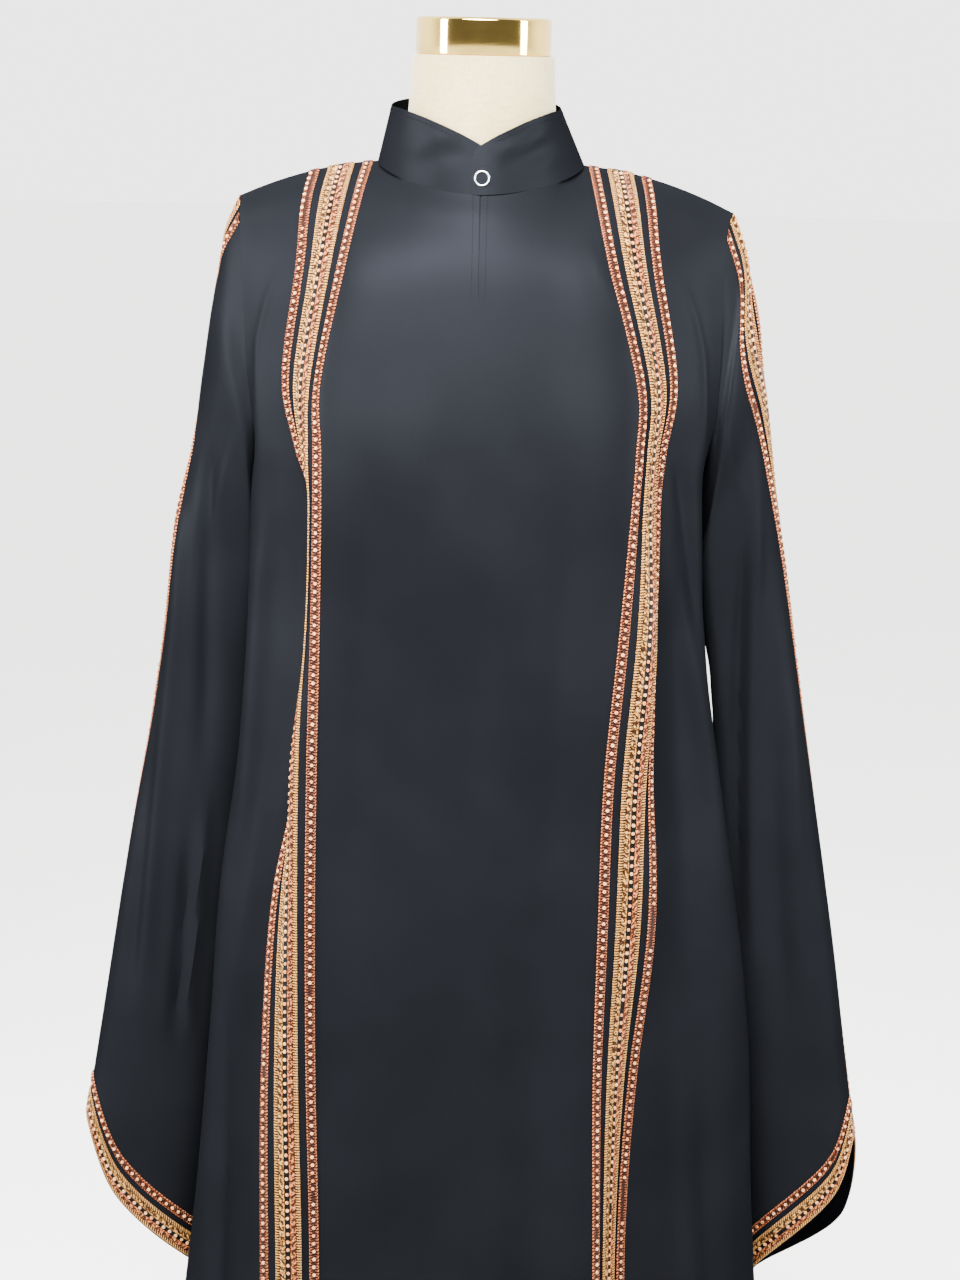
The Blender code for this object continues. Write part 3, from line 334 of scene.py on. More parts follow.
# The slit's half width and the strip behind it: half width, depth, wall and how far it runs on below
SLIT_HALF, FACING_HALF, FACING_DEPTH, FACING_WALL, FACING_EXTRA = 0.42, 6.0, 1.6, 0.5, 6.0

# How far from a sewn edge the creases reach their full height. Ripples: how many waves, how high, how fast
# they run across and down in radians for each millimetre, the seed of each panel, and the sleeves' share
SEWN_REACH = 14.0
RIPPLE_WAVES, RIPPLE_HEIGHT, RIPPLE_ACROSS, RIPPLE_DOWN = 5, 0.45, (0.035, 0.11), (0.002, 0.009)
RIPPLE_SEEDS = {"front": 3, "back": 8, "left": 4, "right": 5}
SLEEVE_RIPPLE = 0.7

# How sharply a sleeve's front creases give way to those of its back
FRONT_SHARPNESS = 1.5

# Creases: height (negative for a trough), width, how much of each end fades out, and points of (x, z)
Crease = namedtuple("Crease", "height width fade fade_out line")
FRONT_CREASES = (
    Crease(-6.0, 22, 0.3, 0.0, ((-104, 1080), (-108, 900), (-110, 700), (-114, 400), (-118, 30))),
    Crease(-7.0, 24, 0.3, 0.0, ((60, 1080), (58, 900), (56, 700), (56, 400), (54, 30))),
    Crease(-2.5, 10, 0.3, 0.4, ((-77, 1245), (-80, 1160), (-82, 1098), (-83, 1041), (-86, 930), (-84, 800))),
    Crease(-2.8, 10, 0.3, 0.4, ((76, 1240), (73, 1156), (70, 1079), (68, 1011), (66, 900), (70, 780))),
    Crease(-1.1, 8, 0.3, 0.4, ((5, 1230), (9, 1102), (11, 978), (8, 860))),
    Crease(1.0, 3.5, 0.3, 0.5, ((80, 1371), (100, 1327), (121, 1282))),
    Crease(-1.8, 12, 0.3, 0.3, ((-40, 900), (-46, 700), (-44, 450), (-50, 200))),
    Crease(2.1, 12, 0.3, 0.0, ((30, 840), (36, 600), (34, 350), (38, 30))),
    Crease(-2.1, 11, 0.3, 0.0, ((-66, 640), (-72, 420), (-70, 200), (-76, 30))),
    Crease(-1.8, 11, 0.4, 0.0, ((80, 560), (84, 380), (90, 180), (92, 30))),
    Crease(3.6, 7, 0.3, 0.3, ((-156, 1178), (-165, 1100), (-167, 1060), (-174, 938), (-182, 839))),
    Crease(4.5, 9, 0.3, 0.0, ((-160, 721), (-173, 655), (-179, 519), (-188, 260), (-196, 30))),
    Crease(-5.6, 8, 0.3, 0.0, ((-183, 847), (-191, 751), (-193, 640), (-194, 519), (-212, 260), (-226, 30))),
    Crease(-3.6, 6, 0.3, 0.3, ((152, 1224), (163, 1167), (175, 1091), (181, 1049))),
    Crease(3.6, 8, 0.3, 0.3, ((145, 1168), (157, 1110), (169, 1056), (194, 961), (215, 858))),
    Crease(4.5, 10, 0.3, 0.0, ((156, 849), (165, 761), (173, 648), (179, 542), (192, 280), (200, 30))),
    Crease(-4.8, 9, 0.3, 0.0, ((190, 800), (202, 600), (218, 400), (238, 200), (252, 30))),
    Crease(1.1, 3, 0.2, 0.3, ((152, 1343), (167, 1312), (174, 1284), (176, 1262), (178, 1212), (177, 1174))),
    Crease(1.1, 3, 0.2, 0.3, ((-150, 1345), (-163, 1312), (-169, 1284), (-170, 1240), (-168, 1180))),
)
BACK_CREASES = (
    Crease(-2.5, 11, 0.3, 0.4, ((-62, 1300), (-70, 1180), (-72, 1060), (-66, 900))),
    Crease(-2.8, 11, 0.3, 0.4, ((66, 1290), (72, 1160), (70, 1020), (74, 880))),
    Crease(1.8, 9, 0.3, 0.4, ((18, 1180), (14, 1050), (20, 900), (12, 760))),
    Crease(-2.1, 9, 0.3, 0.3, ((-24, 1020), (-30, 860), (-26, 640))),
    Crease(-2.8, 7, 0.3, 0.4, ((-140, 1200), (-128, 1120), (-124, 1030))),
    Crease(-3.1, 7, 0.3, 0.4, ((144, 1205), (130, 1130), (128, 1040))),
    Crease(3.4, 9, 0.3, 0.3, ((-158, 1120), (-160, 1000), (-166, 860))),
    Crease(3.4, 9, 0.3, 0.3, ((162, 1110), (164, 980), (172, 840))),
    Crease(2.5, 12, 0.3, 0.0, ((-20, 620), (-26, 400), (-24, 30))),
    Crease(-2.3, 12, 0.3, 0.0, ((34, 700), (30, 420), (36, 30))),
    Crease(-4.8, 9, 0.3, 0.0, ((-196, 700), (-216, 400), (-244, 30))),
    Crease(-4.8, 9, 0.3, 0.0, ((200, 720), (222, 400), (250, 30))),
    Crease(3.9, 9, 0.3, 0.0, ((-176, 620), (-190, 380), (-206, 30))),
    Crease(3.9, 9, 0.3, 0.0, ((182, 600), (196, 360), (212, 30))),
)
COLLAR_CREASES = (
    Crease(-3.4, 4.5, 0.3, 0.3, ((-62, 1412), (-36, 1424), (-12, 1437))),
    Crease(2.6, 4.0, 0.3, 0.3, ((-62, 1426), (-42, 1437), (-22, 1449))),
    Crease(-3.4, 4.5, 0.3, 0.3, ((12, 1418), (36, 1427), (62, 1442))),
    Crease(2.6, 4.0, 0.3, 0.3, ((10, 1431), (32, 1439), (56, 1455))),
    Crease(2.6, 4.0, 0.3, 0.3, ((32, 1414), (60, 1428))),
)
SLEEVE_CREASES = {
    "left": (
        Crease(-4.6, 7, 0.25, 0.35, ((-208, 1235), (-210, 1120), (-211, 1000), (-215, 900))),
        Crease(3.8, 6, 0.25, 0.20, ((-226, 1240), (-233, 1120), (-238, 1040), (-250, 915), (-266, 700))),
        Crease(-4.4, 6, 0.30, 0.20, ((-222, 900), (-229, 800), (-238, 690))),
        Crease(3.8, 5, 0.30, 0.20, ((-211, 930), (-214, 860), (-219, 800), (-228, 700))),
        Crease(-2.8, 6, 0.30, 0.30, ((-252, 1010), (-264, 860), (-280, 700))),
        Crease(-2.2, 6, 0.40, 0.40, ((-192, 1240), (-203, 1190), (-222, 1150))),
        Crease(1.6, 5, 0.40, 0.40, ((-186, 1215), (-200, 1160), (-214, 1110))),
    ),
    "right": (
        Crease(5.5, 8, 0.25, 0.40, ((184, 1150), (189, 1095), (195, 1035), (200, 985), (204, 940))),
        Crease(-4.0, 5, 0.30, 0.30, ((210, 1215), (213, 1110), (215, 1020), (220, 900), (226, 760))),
        Crease(4.0, 6, 0.30, 0.30, ((222, 1230), (224, 1120), (227, 1000), (232, 880), (240, 740))),
        Crease(-3.4, 7, 0.30, 0.30, ((240, 1080), (246, 960), (256, 820), (268, 690))),
        Crease(2.8, 7, 0.30, 0.30, ((256, 1040), (268, 880), (284, 700))),
        Crease(1.6, 5, 0.40, 0.40, ((190, 1240), (203, 1190), (222, 1140))),
    ),
}
SLEEVE_BACK_CREASES = {
    "left": (
        Crease(-3.6, 9, 0.3, 0.3, ((-196, 1180), (-206, 1020), (-216, 860), (-224, 700))),
        Crease(2.8, 8, 0.3, 0.3, ((-220, 1120), (-232, 940), (-246, 760))),
        Crease(-3.1, 8, 0.3, 0.4, ((-244, 1010), (-258, 850), (-272, 700))),
        Crease(-2.5, 6, 0.4, 0.4, ((-188, 1260), (-204, 1200), (-224, 1150))),
    ),
    "right": (
        Crease(-3.6, 9, 0.3, 0.3, ((206, 1190), (214, 1030), (226, 860), (238, 690))),
        Crease(2.8, 8, 0.3, 0.3, ((232, 1110), (244, 930), (262, 740))),
        Crease(-3.1, 8, 0.3, 0.4, ((254, 1000), (272, 830), (292, 680))),
        Crease(-2.5, 6, 0.4, 0.4, ((198, 1260), (214, 1200), (236, 1140))),
    ),
}

# Colours: the crepe's black, how much lighter it is where a sheen is painted on (the grain's raised tops and
# soft clouds) and how rough it is, and how much dimmer a smear on metal is
CREPE_BLACK, CREPE_LIGHTER, CREPE_ROUGHNESS = (0.0047, 0.0051, 0.0062), 1.35, 0.38
METAL_DIMMER = 0.82


# Curves and grids
def smooth_curve(knots, values, at):
    """A curve with continuous slope through the values, read at the places given."""
    knots, values, at = np.asarray(knots, float), np.asarray(values, float), np.asarray(at, float)
    slopes = np.gradient(values, knots, axis=0)
    span = np.clip(np.searchsorted(knots, at, side="right") - 1, 0, len(knots) - 2)
    width = (knots[span + 1] - knots[span])[:, None]
    t = (at - knots[span])[:, None] / width
    low, high = values[span], values[span + 1]
    return (
        (1 + 2 * t) * (1 - t) ** 2 * low
        + t * (1 - t) ** 2 * width * slopes[span]
        + t**2 * (3 - 2 * t) * high
        - t**2 * (1 - t) * width * slopes[span + 1]
    )


def lengths(points):
    """The distance along a line of points, from its start to each of them."""
    steps = np.linalg.norm(np.diff(points, axis=0), axis=1)
    return np.concatenate([[0.0], np.cumsum(steps)])


def at_distance(points, distance):
    """The points of a line that lie at the distances given along it."""
    along = lengths(points)
    return np.stack([np.interp(distance, along, points[:, axis]) for axis in range(3)], axis=1)


def through(points, before=None, after=None):
    """A fine smooth line through the points. The neighbours before and after only steer its ends."""
    lead = [] if before is None else [before]
    tail = [] if after is None else [after]
    path = np.array([*lead, *points, *tail], float)
    knots = np.sqrt(np.linalg.norm(np.diff(path, axis=0), axis=1))
    knots = np.concatenate([[0.0], np.cumsum(np.maximum(knots, 1e-6))])
    inner = knots[len(lead) : len(lead) + len(points)]
    places = [np.linspace(a, b, SAMPLES, endpoint=False) for a, b in zip(inner[:-1], inner[1:])]
    return smooth_curve(knots, path, np.concatenate([*places, inner[-1:]]))


def cell_normals(grid, ring=False):
    """A unit normal at each point of a grid, from the cells that meet there."""
    rows, columns, _ = grid.shape
    closed = np.concatenate([grid, grid[:, :1]], axis=1) if ring else grid
    diagonal_a = closed[1:, 1:] - closed[:-1, :-1]
    diagonal_b = closed[:-1, 1:] - closed[1:, :-1]
    cells = np.cross(diagonal_a, diagonal_b)
    total = np.zeros_like(closed)
    for i in (0, 1):
        for j in (0, 1):
            total[i : i + rows - 1, j : j + cells.shape[1]] += cells
    if ring:
        total[:, 0] += total[:, -1]
        total = total[:, :columns]
    return unit(total)


def unit(vectors):
    return vectors / np.maximum(np.linalg.norm(vectors, axis=-1, keepdims=True), 1e-9)


# Body panels
def shoulder_point(out):
    """A point of the shoulder seam, out from the centre."""
    along = out - NECK_SIDE[0]
    return (out, 0.0, NECK_SIDE[2] - SHOULDER_SLOPE * along - SHOULDER_DROOP * along**2)


def down_the_lines(top, rows, levels):
    """The lines of a table as smooth curves: their points at levels, counted in table rows from the top."""
    table = np.array([top, *rows], float)
    flat = smooth_curve(np.arange(len(table)), table.reshape(len(table), -1), levels)
    return flat.reshape(len(levels), -1, 3)


def table_points(table, top):
    """The table's rows as points. Near the top each keeps part of the neckline's and shoulder's rise."""
    rows = []
    for row in table:
        heights = [row.z + row.rise * (p[2] - NECK_FRONT[2]) for p in top]
        if isinstance(row, FrontRow):
            middle = (MIDDLE_OUT * row.inner[0], row.centre + MIDDLE_DEPTH * (row.inner[1] - row.centre))
            places = [(0.0, row.centre), middle, *row[3:]]
        else:
            places = [*row[2:-1], (0.0, row.centre)]
        rows.append([(x, y, z) for (x, y), z in zip(places, heights)])
    return rows


def mirrored(points):
    return np.asarray(points, float) * (-1.0, 1.0, 1.0)


def front_lines(side, levels):
    table = FRONT_LEFT if side == "left" else FRONT_RIGHT
    top = [NECK_FRONT, NECK_FRONT_CORNER, NECK_SIDE, *map(shoulder_point, FRONT_TOP_OUT[side])]
    return down_the_lines(top, table_points(table, top), levels)


def back_lines(side, levels):
    """The back's lines from the seam to the centre, with the seam on the front's own seam below the arm."""
    top = [*map(shoulder_point, BACK_TOP_OUT[side]), NECK_SIDE, NECK_BACK_CORNER, NECK_BACK]
    rows = np.array(table_points(BACK, top), float)
    seam = np.array([row.seam for row in (FRONT_LEFT if side == "left" else FRONT_RIGHT)], float)
    shift = seam[:, 0] - rows[:, 0, 0]
    for line, share in enumerate(BACK_SHIFTS):
        rows[:, line, 0] += share * shift
    return down_the_lines(top, rows, levels)


def armhole_levels(lines_of, side, seam_line):
    """The levels at which the armhole's edge has the sleeve's spacing, from the shoulder to the armpit."""
    fine = np.linspace(0, ARMPIT_LEVEL, ARMHOLE_SAMPLES)
    edge = lines_of(side, fine)[:, seam_line]
    along = lengths(edge)
    rest = np.linspace(ARM_TRIO[-1], along[-1], ARMHOLE_CELLS + 1)[1:]
    return np.interp([*ARM_TRIO, *rest], along, fine)


def skirt_levels():
    levels = []
    for start, cells in enumerate(SKIRT_CELLS, ARMPIT_LEVEL):
        levels += list(start + np.arange(1, cells + 1) / cells)
    return levels


def body_levels(lines_of, side, seam_line):
    return np.concatenate([armhole_levels(lines_of, side, seam_line), skirt_levels()])


def half_front(side):
    """One half of the front, from the centre out to the seam, in rows of points."""
    levels = body_levels(front_lines, side, -1)
    lines = front_lines(side, levels)
    neighbours = back_lines(side, levels)[:, 1]
    rows = []
    for level, points, beyond in zip(levels, lines, neighbours):
        steer = beyond if level > ARMPIT_LEVEL - 0.01 else None
        if level > 0:
            line = through(points, before=mirrored(points[1]), after=steer)
        else:
            neck = through(points[:3], before=mirrored(points[1]), after=NECK_BACK_CORNER)
            line = np.concatenate([neck, through(points[2:])[1:]])
        along = lengths(line)
        inner = along[2 * SAMPLES]
        centre = np.linspace(PLACKET, inner, CENTRE_CELLS)[:-1]
        flank = np.linspace(inner + FRONT_TRIO[-1], along[-1], FLANK_CELLS + 1)[1:]
        trio = inner + np.array(FRONT_TRIO)
        rows.append(at_distance(line, [SLIT_HALF, *centre, *trio, *flank]))
    return np.array(rows)


def half_back(side):
    """One half of the back, from the seam in to the centre, in rows of points."""
    levels = body_levels(back_lines, side, 0)
    lines = back_lines(side, levels)
    neighbours = front_lines(side, levels)[:, -2]
    rows = []
    for level, points, beyond in zip(levels, lines, neighbours):
        steer = beyond if level > ARMPIT_LEVEL - 0.01 else None
        if level > 0:
            line = through(points, before=steer, after=mirrored(points[-2]))
        else:
            neck = through(points[4:], before=NECK_FRONT_CORNER, after=mirrored(points[-2]))
            line = np.concatenate([through(points[:5]), neck[1:]])
        along = lengths(line)
        neck = along[4 * SAMPLES]
        outer = np.linspace(0.0, neck, 2 * BACK_SHOULDER_CELLS + 1)[:-1]
        centre = np.linspace(neck, along[-1], BACK_NECK_CELLS + 1)
        rows.append(at_distance(line, [*outer, *centre]))
    return np.array(rows)


def blended(normals_a, normals_b):
    """Two walls' normals along a shared seam, averaged where the walls run on into each other."""
    turned_together = np.sum(normals_a * normals_b, axis=-1, keepdims=True)
    facing = np.clip((turned_together - BLEND_FROM) / (BLEND_FULL - BLEND_FROM), 0.0, 1.0)
    return unit(normals_a + facing * normals_b), unit(normals_b + facing * normals_a), facing


class Panel:
    """A grid of points with a normal at each. Rows run down, and columns to one side."""

    def __init__(self, points, ring=False):
        self.points = points
        self.normals = cell_normals(points, ring)

    def out(self, distance):
        return self.points + self.normals * distance


ARMPIT_ROW = len(ARM_TRIO) - 1 + ARMHOLE_CELLS
HALF_COLUMNS = CENTRE_CELLS + len(FRONT_TRIO) + FLANK_CELLS
NECK_COLUMN = CENTRE_CELLS


def body_panels():
    left, right = half_front("left"), half_front("right")
    front = Panel(np.concatenate([mirrored(left)[:, ::-1], right], axis=1))
    left, right = half_back("left"), half_back("right")
    back = Panel(np.concatenate([right, mirrored(left)[:, ::-1][:, 1:]], axis=1))
    for row in range(ARMPIT_ROW, len(front.points)):
        for own, other in ((-1, 0), (0, -1)):
            shared = unit(front.normals[row, own] + back.normals[row, other])
            front.normals[row, own] = back.normals[row, other] = shared
    shoulder = np.abs(front.points[0, :, 0]) >= NECK_SIDE[0] - 0.1
    front.normals[0, shoulder, 1] = 0.0
    shoulder = np.abs(back.points[0, :, 0]) >= NECK_SIDE[0] - 0.1
    back.normals[0, shoulder, 1] = 0.0
    front.normals[0], back.normals[0] = unit(front.normals[0]), unit(back.normals[0])
    return front, back


def armhole(front, back, side):
    """The armhole: its points, the ways out of the cloth and the normals, down the front and up the back."""
    edge, inside = (0, 1) if side == "left" else (-1, -2)
    back_edge, back_inside = (-1, -2) if side == "left" else (0, 1)
    rows = np.arange(ARMPIT_ROW + 1)
    points = [front.points[rows, edge], back.points[rows[-2:0:-1], back_edge]]
    ways = [
        unit(front.points[rows, edge] - front.points[rows, inside]),
        unit(back.points[rows[-2:0:-1], back_edge] - back.points[rows[-2:0:-1], back_inside]),
    ]
    normals = [front.normals[rows, edge], back.normals[rows[-2:0:-1], back_edge]]
    return np.concatenate(points), np.concatenate(ways), np.concatenate(normals)


def sleeve_ring(row, side):
    """One ring of a sleeve's table, divided as the armhole is, from the overarm to the front and round."""
    stations = [row.over, row.front, row.fore, row.under, row.hind, row.back]
    line = through([*stations, stations[0]], before=stations[-1], after=stations[1])
    along = lengths(line)
    total, under = along[-1], along[3 * SAMPLES]
    trio = np.array(ARM_TRIO)
    fore = np.linspace(row.lean + trio[-1], under, ARMHOLE_CELLS + 1)[1:]
    hind = np.linspace(under, total + row.lean - trio[-1], ARMHOLE_CELLS + 1)[1:]
    places = np.concatenate([row.lean + trio, fore, hind, total + row.lean - trio[-2:0:-1]])
    points = at_distance(line, places % total)
    return mirrored(points) if side == "left" else points


def sleeve_panel(front, back, side):
    table = SLEEVE_LEFT if side == "left" else SLEEVE_RIGHT
    edge, ways, body_normals = armhole(front, back, side)
    rings = [sleeve_ring(row, side) for row in table]
    high = np.clip((edge[:, 2:] - CAP_HEIGHTS[0]) / (CAP_HEIGHTS[1] - CAP_HEIGHTS[0]), 0.0, 1.0)
    below = sleeve_ring(table[0]._replace(lean=CAP_LEAN[side]), side)
    cap = edge + CAP_SHARE * (below - edge) + CAP_OUT[side] * high * ways
    rings = np.array([edge, cap, *rings])
    knots = np.concatenate([[0.0], np.cumsum(np.linalg.norm(np.diff(rings, axis=0), axis=2).mean(axis=1))])
    fine = np.linspace(0.0, knots[-1], SLEEVE_SAMPLES * len(rings))
    flat = smooth_curve(knots, rings.reshape(len(rings), -1), fine).reshape(len(fine), -1, 3)
    columns = []
    for line in flat.transpose(1, 0, 2):
        total = lengths(line)[-1]
        upper = (total - CUFF_BANDS[0]) * np.linspace(0.0, 1.0, SLEEVE_ROWS + 1)[:-1] ** SLEEVE_EVENNESS
        columns.append(at_distance(line, [*upper, *(total - np.array(CUFF_BANDS))]))
    grid = np.array(columns).transpose(1, 0, 2)
    sleeve = Panel(round_the_right_way(grid, side), ring=True)
    ways = round_the_right_way(ways[None], side)[0]
    body_normals = round_the_right_way(body_normals[None], side)[0]
    new_body, new_sleeve, facing = blended(body_normals, sleeve.normals[0])
    sleeve.normals[0] = new_sleeve
    way_out = unit(facing * ways + (1.0 - facing) * body_normals)
    sleeve.points[0] += way_out * SEAM_GAP
    give_to_armhole(front, back, side, round_the_right_way(new_body[None], side)[0])
    return sleeve


def round_the_right_way(grid, side):
    """Keeps the first column and turns the right sleeve's order round, so that both have the same hand."""
    if side == "left":
        return grid
    return np.concatenate([grid[:, :1], grid[:, :0:-1]], axis=1)


def give_to_armhole(front, back, side, normals):
    edge = 0 if side == "left" else -1
    rows = np.arange(ARMPIT_ROW + 1)
    front.normals[rows, edge] = normals[: ARMPIT_ROW + 1]
    back_edge = -1 - edge
    back.normals[rows[-2:0:-1], back_edge] = normals[ARMPIT_ROW + 1 :]
    back.normals[0, back_edge] = normals[0]
    back.normals[ARMPIT_ROW, back_edge] = normals[ARMPIT_ROW]


def seamed(panel, edges):
    """The panel with its side seams and shoulder seams drawn back by half of the gap."""
    moved = panel.points.copy()
    half = SEAM_GAP / 2
    rows = np.arange(ARMPIT_ROW, len(moved))
    for edge, inside in ((0, 1), (-1, -2)):
        moved[rows, edge] += unit(moved[rows, inside] - moved[rows, edge]) * half
    moved[0, edges] += unit(moved[1, edges] - moved[0, edges]) * half
    panel.points = moved


# Collar
def neckline(front, back):
    """The neckline from the centre front round the left side to the centre front again."""
    columns = HALF_COLUMNS
    left = np.arange(columns - 1, columns - 2 - NECK_COLUMN, -1)
    right = np.arange(columns + NECK_COLUMN, columns - 1, -1)
    middle = (back.points.shape[1] - 1) // 2
    behind = np.arange(middle + BACK_NECK_CELLS - 1, middle - BACK_NECK_CELLS, -1)
    parts = ((front, left), (back, behind), (front, right))
    edge = np.concatenate([panel.points[0, chosen] for panel, chosen in parts])
    normals = np.concatenate([panel.normals[0, chosen] for panel, chosen in parts])
    ways = unit(-edge * (1.0, 1.0, 0.0))
    ways[:, 2] = COLLAR_RISE
    return edge, unit(ways), normals, parts


def collar_panel(front, back):
    """The collar, from the neckline up to its top edge, with its right end lapped over the left one."""
    edge, ways, body_normals, parts = neckline(front, back)
    count = len(edge)
    middle = count // 2
    base = edge + ways * SEAM_GAP
    top_line = through(COLLAR_TOP)
    top = np.zeros_like(base)
    sides = {"left": (range(0, middle + 1), -1.0), "right": (range(count - 1, middle - 1, -1), 1.0)}
    for side, (chosen, flip) in sides.items():
        chosen = list(chosen)
        share = lengths(base[chosen]) / lengths(base[chosen])[-1]
        spots = at_distance(top_line, share * lengths(top_line)[-1])
        top[chosen] = spots * (flip * COLLAR_WIDER[side], 1.0, 1.0)
    steps = np.linspace(0.0, 1.0, COLLAR_CELLS + 1)[:, None, None]
    grid = base[None] + steps * (top - base)[None]
    placket = COLLAR_UNDER_END / PLACKET
    rise = steps[:, 0]
    third = np.clip(3 * rise - 2, 0.0, 1.0) ** 2 * COLLAR_END_DROP / 3
    under = grid[:, -1:] + placket * (grid[:, -2:-1] - grid[:, -1:])
    over = grid[:, :1] + (grid[:, 1:2] - grid[:, :1]) * 0.5
    over[:, 0, 0] = np.interp(rise[:, 0], np.linspace(0, 1, len(COLLAR_OVER_END)), COLLAR_OVER_END)
    for end in (under, over):
        end[:, 0] += third * (end[0, 0] - end[-1, 0]) * (0.0, 1.0, 1.0)
    grid = np.concatenate([under, grid, over], axis=1)[::-1][:, ::-1]
    collar = Panel(grid)
    along = lengths(grid[-1])
    from_ends = np.stack([along, along[-1] - along])
    over_share, under_share = np.clip((COLLAR_LAP_END - from_ends) / COLLAR_LAP_EASE, 0.0, 1.0)
    shift = COLLAR_STEP * (over_share - under_share)
    shift[0] -= COLLAR_EDGE_ROLL
    new_body, new_collar, _ = blended(body_normals, collar.normals[-1, 1:-1][::-1])
    collar.points = collar.points + collar.normals * shift[None, :, None]
    collar.normals[-1, 1:-1] = new_collar[::-1]
    start = 0
    for panel, chosen in parts:
        panel.normals[0, chosen] = new_body[start : start + len(chosen)]
        start += len(chosen)
    middle_back = (back.points.shape[1] - 1) // 2
    for flip in (1, -1):
        back.normals[0, middle_back + flip * BACK_NECK_CELLS] = front.normals[
            0, HALF_COLUMNS - 1 - NECK_COLUMN if flip > 0 else HALF_COLUMNS + NECK_COLUMN
        ]
    return collar


# Meshes
def new_object(name, mesh, material):
    mesh.materials.append(material)
    piece = bpy.data.objects.new(name, mesh)
    bpy.context.scene.collection.objects.link(piece)
    return piece


def new_mesh(name, points, faces):
    """A mesh from points in millimetres and an array of faces with one number of corners."""
    mesh = bpy.data.meshes.new(name)
    points = np.asarray(points, float).reshape(-1, 3) / 1000.0
    faces = np.asarray(faces, int)
    mesh.vertices.add(len(points))
    mesh.vertices.foreach_set("co", points.ravel())
    mesh.loops.add(faces.size)
    mesh.loops.foreach_set("vertex_index", faces.ravel())
    mesh.polygons.add(len(faces))
    mesh.polygons.foreach_set("loop_start", np.arange(0, faces.size, faces.shape[1]))
    mesh.update(calc_edges=True)
    mesh.validate()
    mesh.shade_smooth()
    return mesh


def grid_faces(rows, columns, ring=False, keep=None):
    """The four-cornered faces of a grid of points, as rows of corner numbers."""
    across = columns if ring else columns - 1
    i, j = np.meshgrid(np.arange(rows - 1) * columns, np.arange(across), indexing="ij")
    k = (j + 1) % columns
    faces = np.stack([i + j, i + columns + j, i + columns + k, i + k], axis=-1).reshape(-1, 4)
    return faces if keep is None else faces[keep.ravel()]


def rim_faces(faces, half):
    """Faces that join the free edges of an upper grid to the same edges of the lower one."""
    starts, ends = faces.ravel(), np.roll(faces, -1, axis=1).ravel()
    uses = dict.fromkeys(zip(starts.tolist(), ends.tolist()))
    free = [(a, b) for a, b in uses if (b, a) not in uses]
    return np.array([(b, a, a + half, b + half) for a, b in free])


def thin_shell(name, outer, inner, ring=False, keep=None):
    """A thin closed wall between two grids of points."""
    rows, columns, _ = outer.shape
    faces = grid_faces(rows, columns, ring, keep)
    half = rows * columns
    everything = np.concatenate([faces, faces[:, ::-1] + half, rim_faces(faces, half)])
    used, numbers = np.unique(everything, return_inverse=True)
    points = np.concatenate([outer.reshape(-1, 3), inner.reshape(-1, 3)])[used]
    mesh = new_mesh(name, points, numbers.reshape(everything.shape))
    mesh.set_sharp_from_angle(angle=SHARP_ANGLE)
    return mesh


def set_track(mesh, across, along, end):
    """Keeps each corner's place on its track, in tenths of a metre. A closed track ends at its length."""
    layer = mesh.uv_layers.new(name=TRACK_MAP)
    corners = np.empty(len(mesh.loops), np.int32)
    mesh.loops.foreach_get("vertex_index", corners)
    reach = along[corners].reshape(-1, 4)
    closing = (reach == 0) & (reach.max(axis=1, keepdims=True) > end / 2)
    spots = np.stack([across[corners], np.where(closing, end, reach).ravel()], axis=1) / 100.0
    layer.data.foreach_set("uv", spots.ravel())


# Creases
def near_line(points, line):
    """The distance of each (x, z) from a line of points, and how far along it the nearest spot is, 0 to 1."""
    line = np.asarray(line, float)
    best = np.full(points.shape[:-1], np.inf)
    share = np.zeros_like(best)
    along = lengths(line)
    for start, end, before, length in zip(line[:-1], line[1:], along[:-1], np.diff(along)):
        t = np.clip(((points - start) @ (end - start)) / length**2, 0.0, 1.0)
        away = np.linalg.norm(points - start - t[..., None] * (end - start), axis=-1)
        closer = away < best
        best = np.where(closer, away, best)
        share = np.where(closer, (before + t * length) / along[-1], share)
    return best, share


def crease_height(points, creases):
    """The height of the soft ridges and troughs of a table, each fading out towards its two ends."""
    flat = points[..., [0, 2]]
    height = np.zeros(points.shape[:-1])
    for crease in creases:
        away, share = near_line(flat, crease.line)
        fade = np.clip(share / crease.fade, 0, 1) if crease.fade else 1.0
        fade = fade * (np.clip((1 - share) / crease.fade_out, 0, 1) if crease.fade_out else 1.0)
        fade = fade * fade * (3 - 2 * fade)
        height += crease.height * fade * np.exp(-((away / crease.width) ** 2))
    return height


def ripple(points, name):
    """Slow unevenness of hung cloth: a few long waves that run mostly down."""
    draw = np.random.default_rng(RIPPLE_SEEDS[name])
    total = np.zeros(points.shape[:-1])
    for _ in range(RIPPLE_WAVES):
        across, down = draw.uniform(*RIPPLE_ACROSS), draw.uniform(*RIPPLE_DOWN)
        total += np.sin(points[..., 0] * across + points[..., 2] * down + draw.uniform(0, 2 * np.pi))
    return total * RIPPLE_HEIGHT / np.sqrt(RIPPLE_WAVES)


def lengths_down(points):
    return np.cumsum(np.linalg.norm(np.diff(points, axis=0, prepend=points[:1]), axis=2), axis=0)


def edge_fade(points, ring):
    """0 at the panel's sewn edges, 1 from a short way in. A hem stays free."""
    fade = np.clip(lengths_down(points) / SEWN_REACH, 0, 1)
    if not ring:
        across = lengths_down(points.swapaxes(0, 1)).T
        for from_edge in (across, across[:, -1:] - across):
            fade = fade * np.clip(from_edge / SEWN_REACH, 0, 1)
    return fade * fade * (3 - 2 * fade)


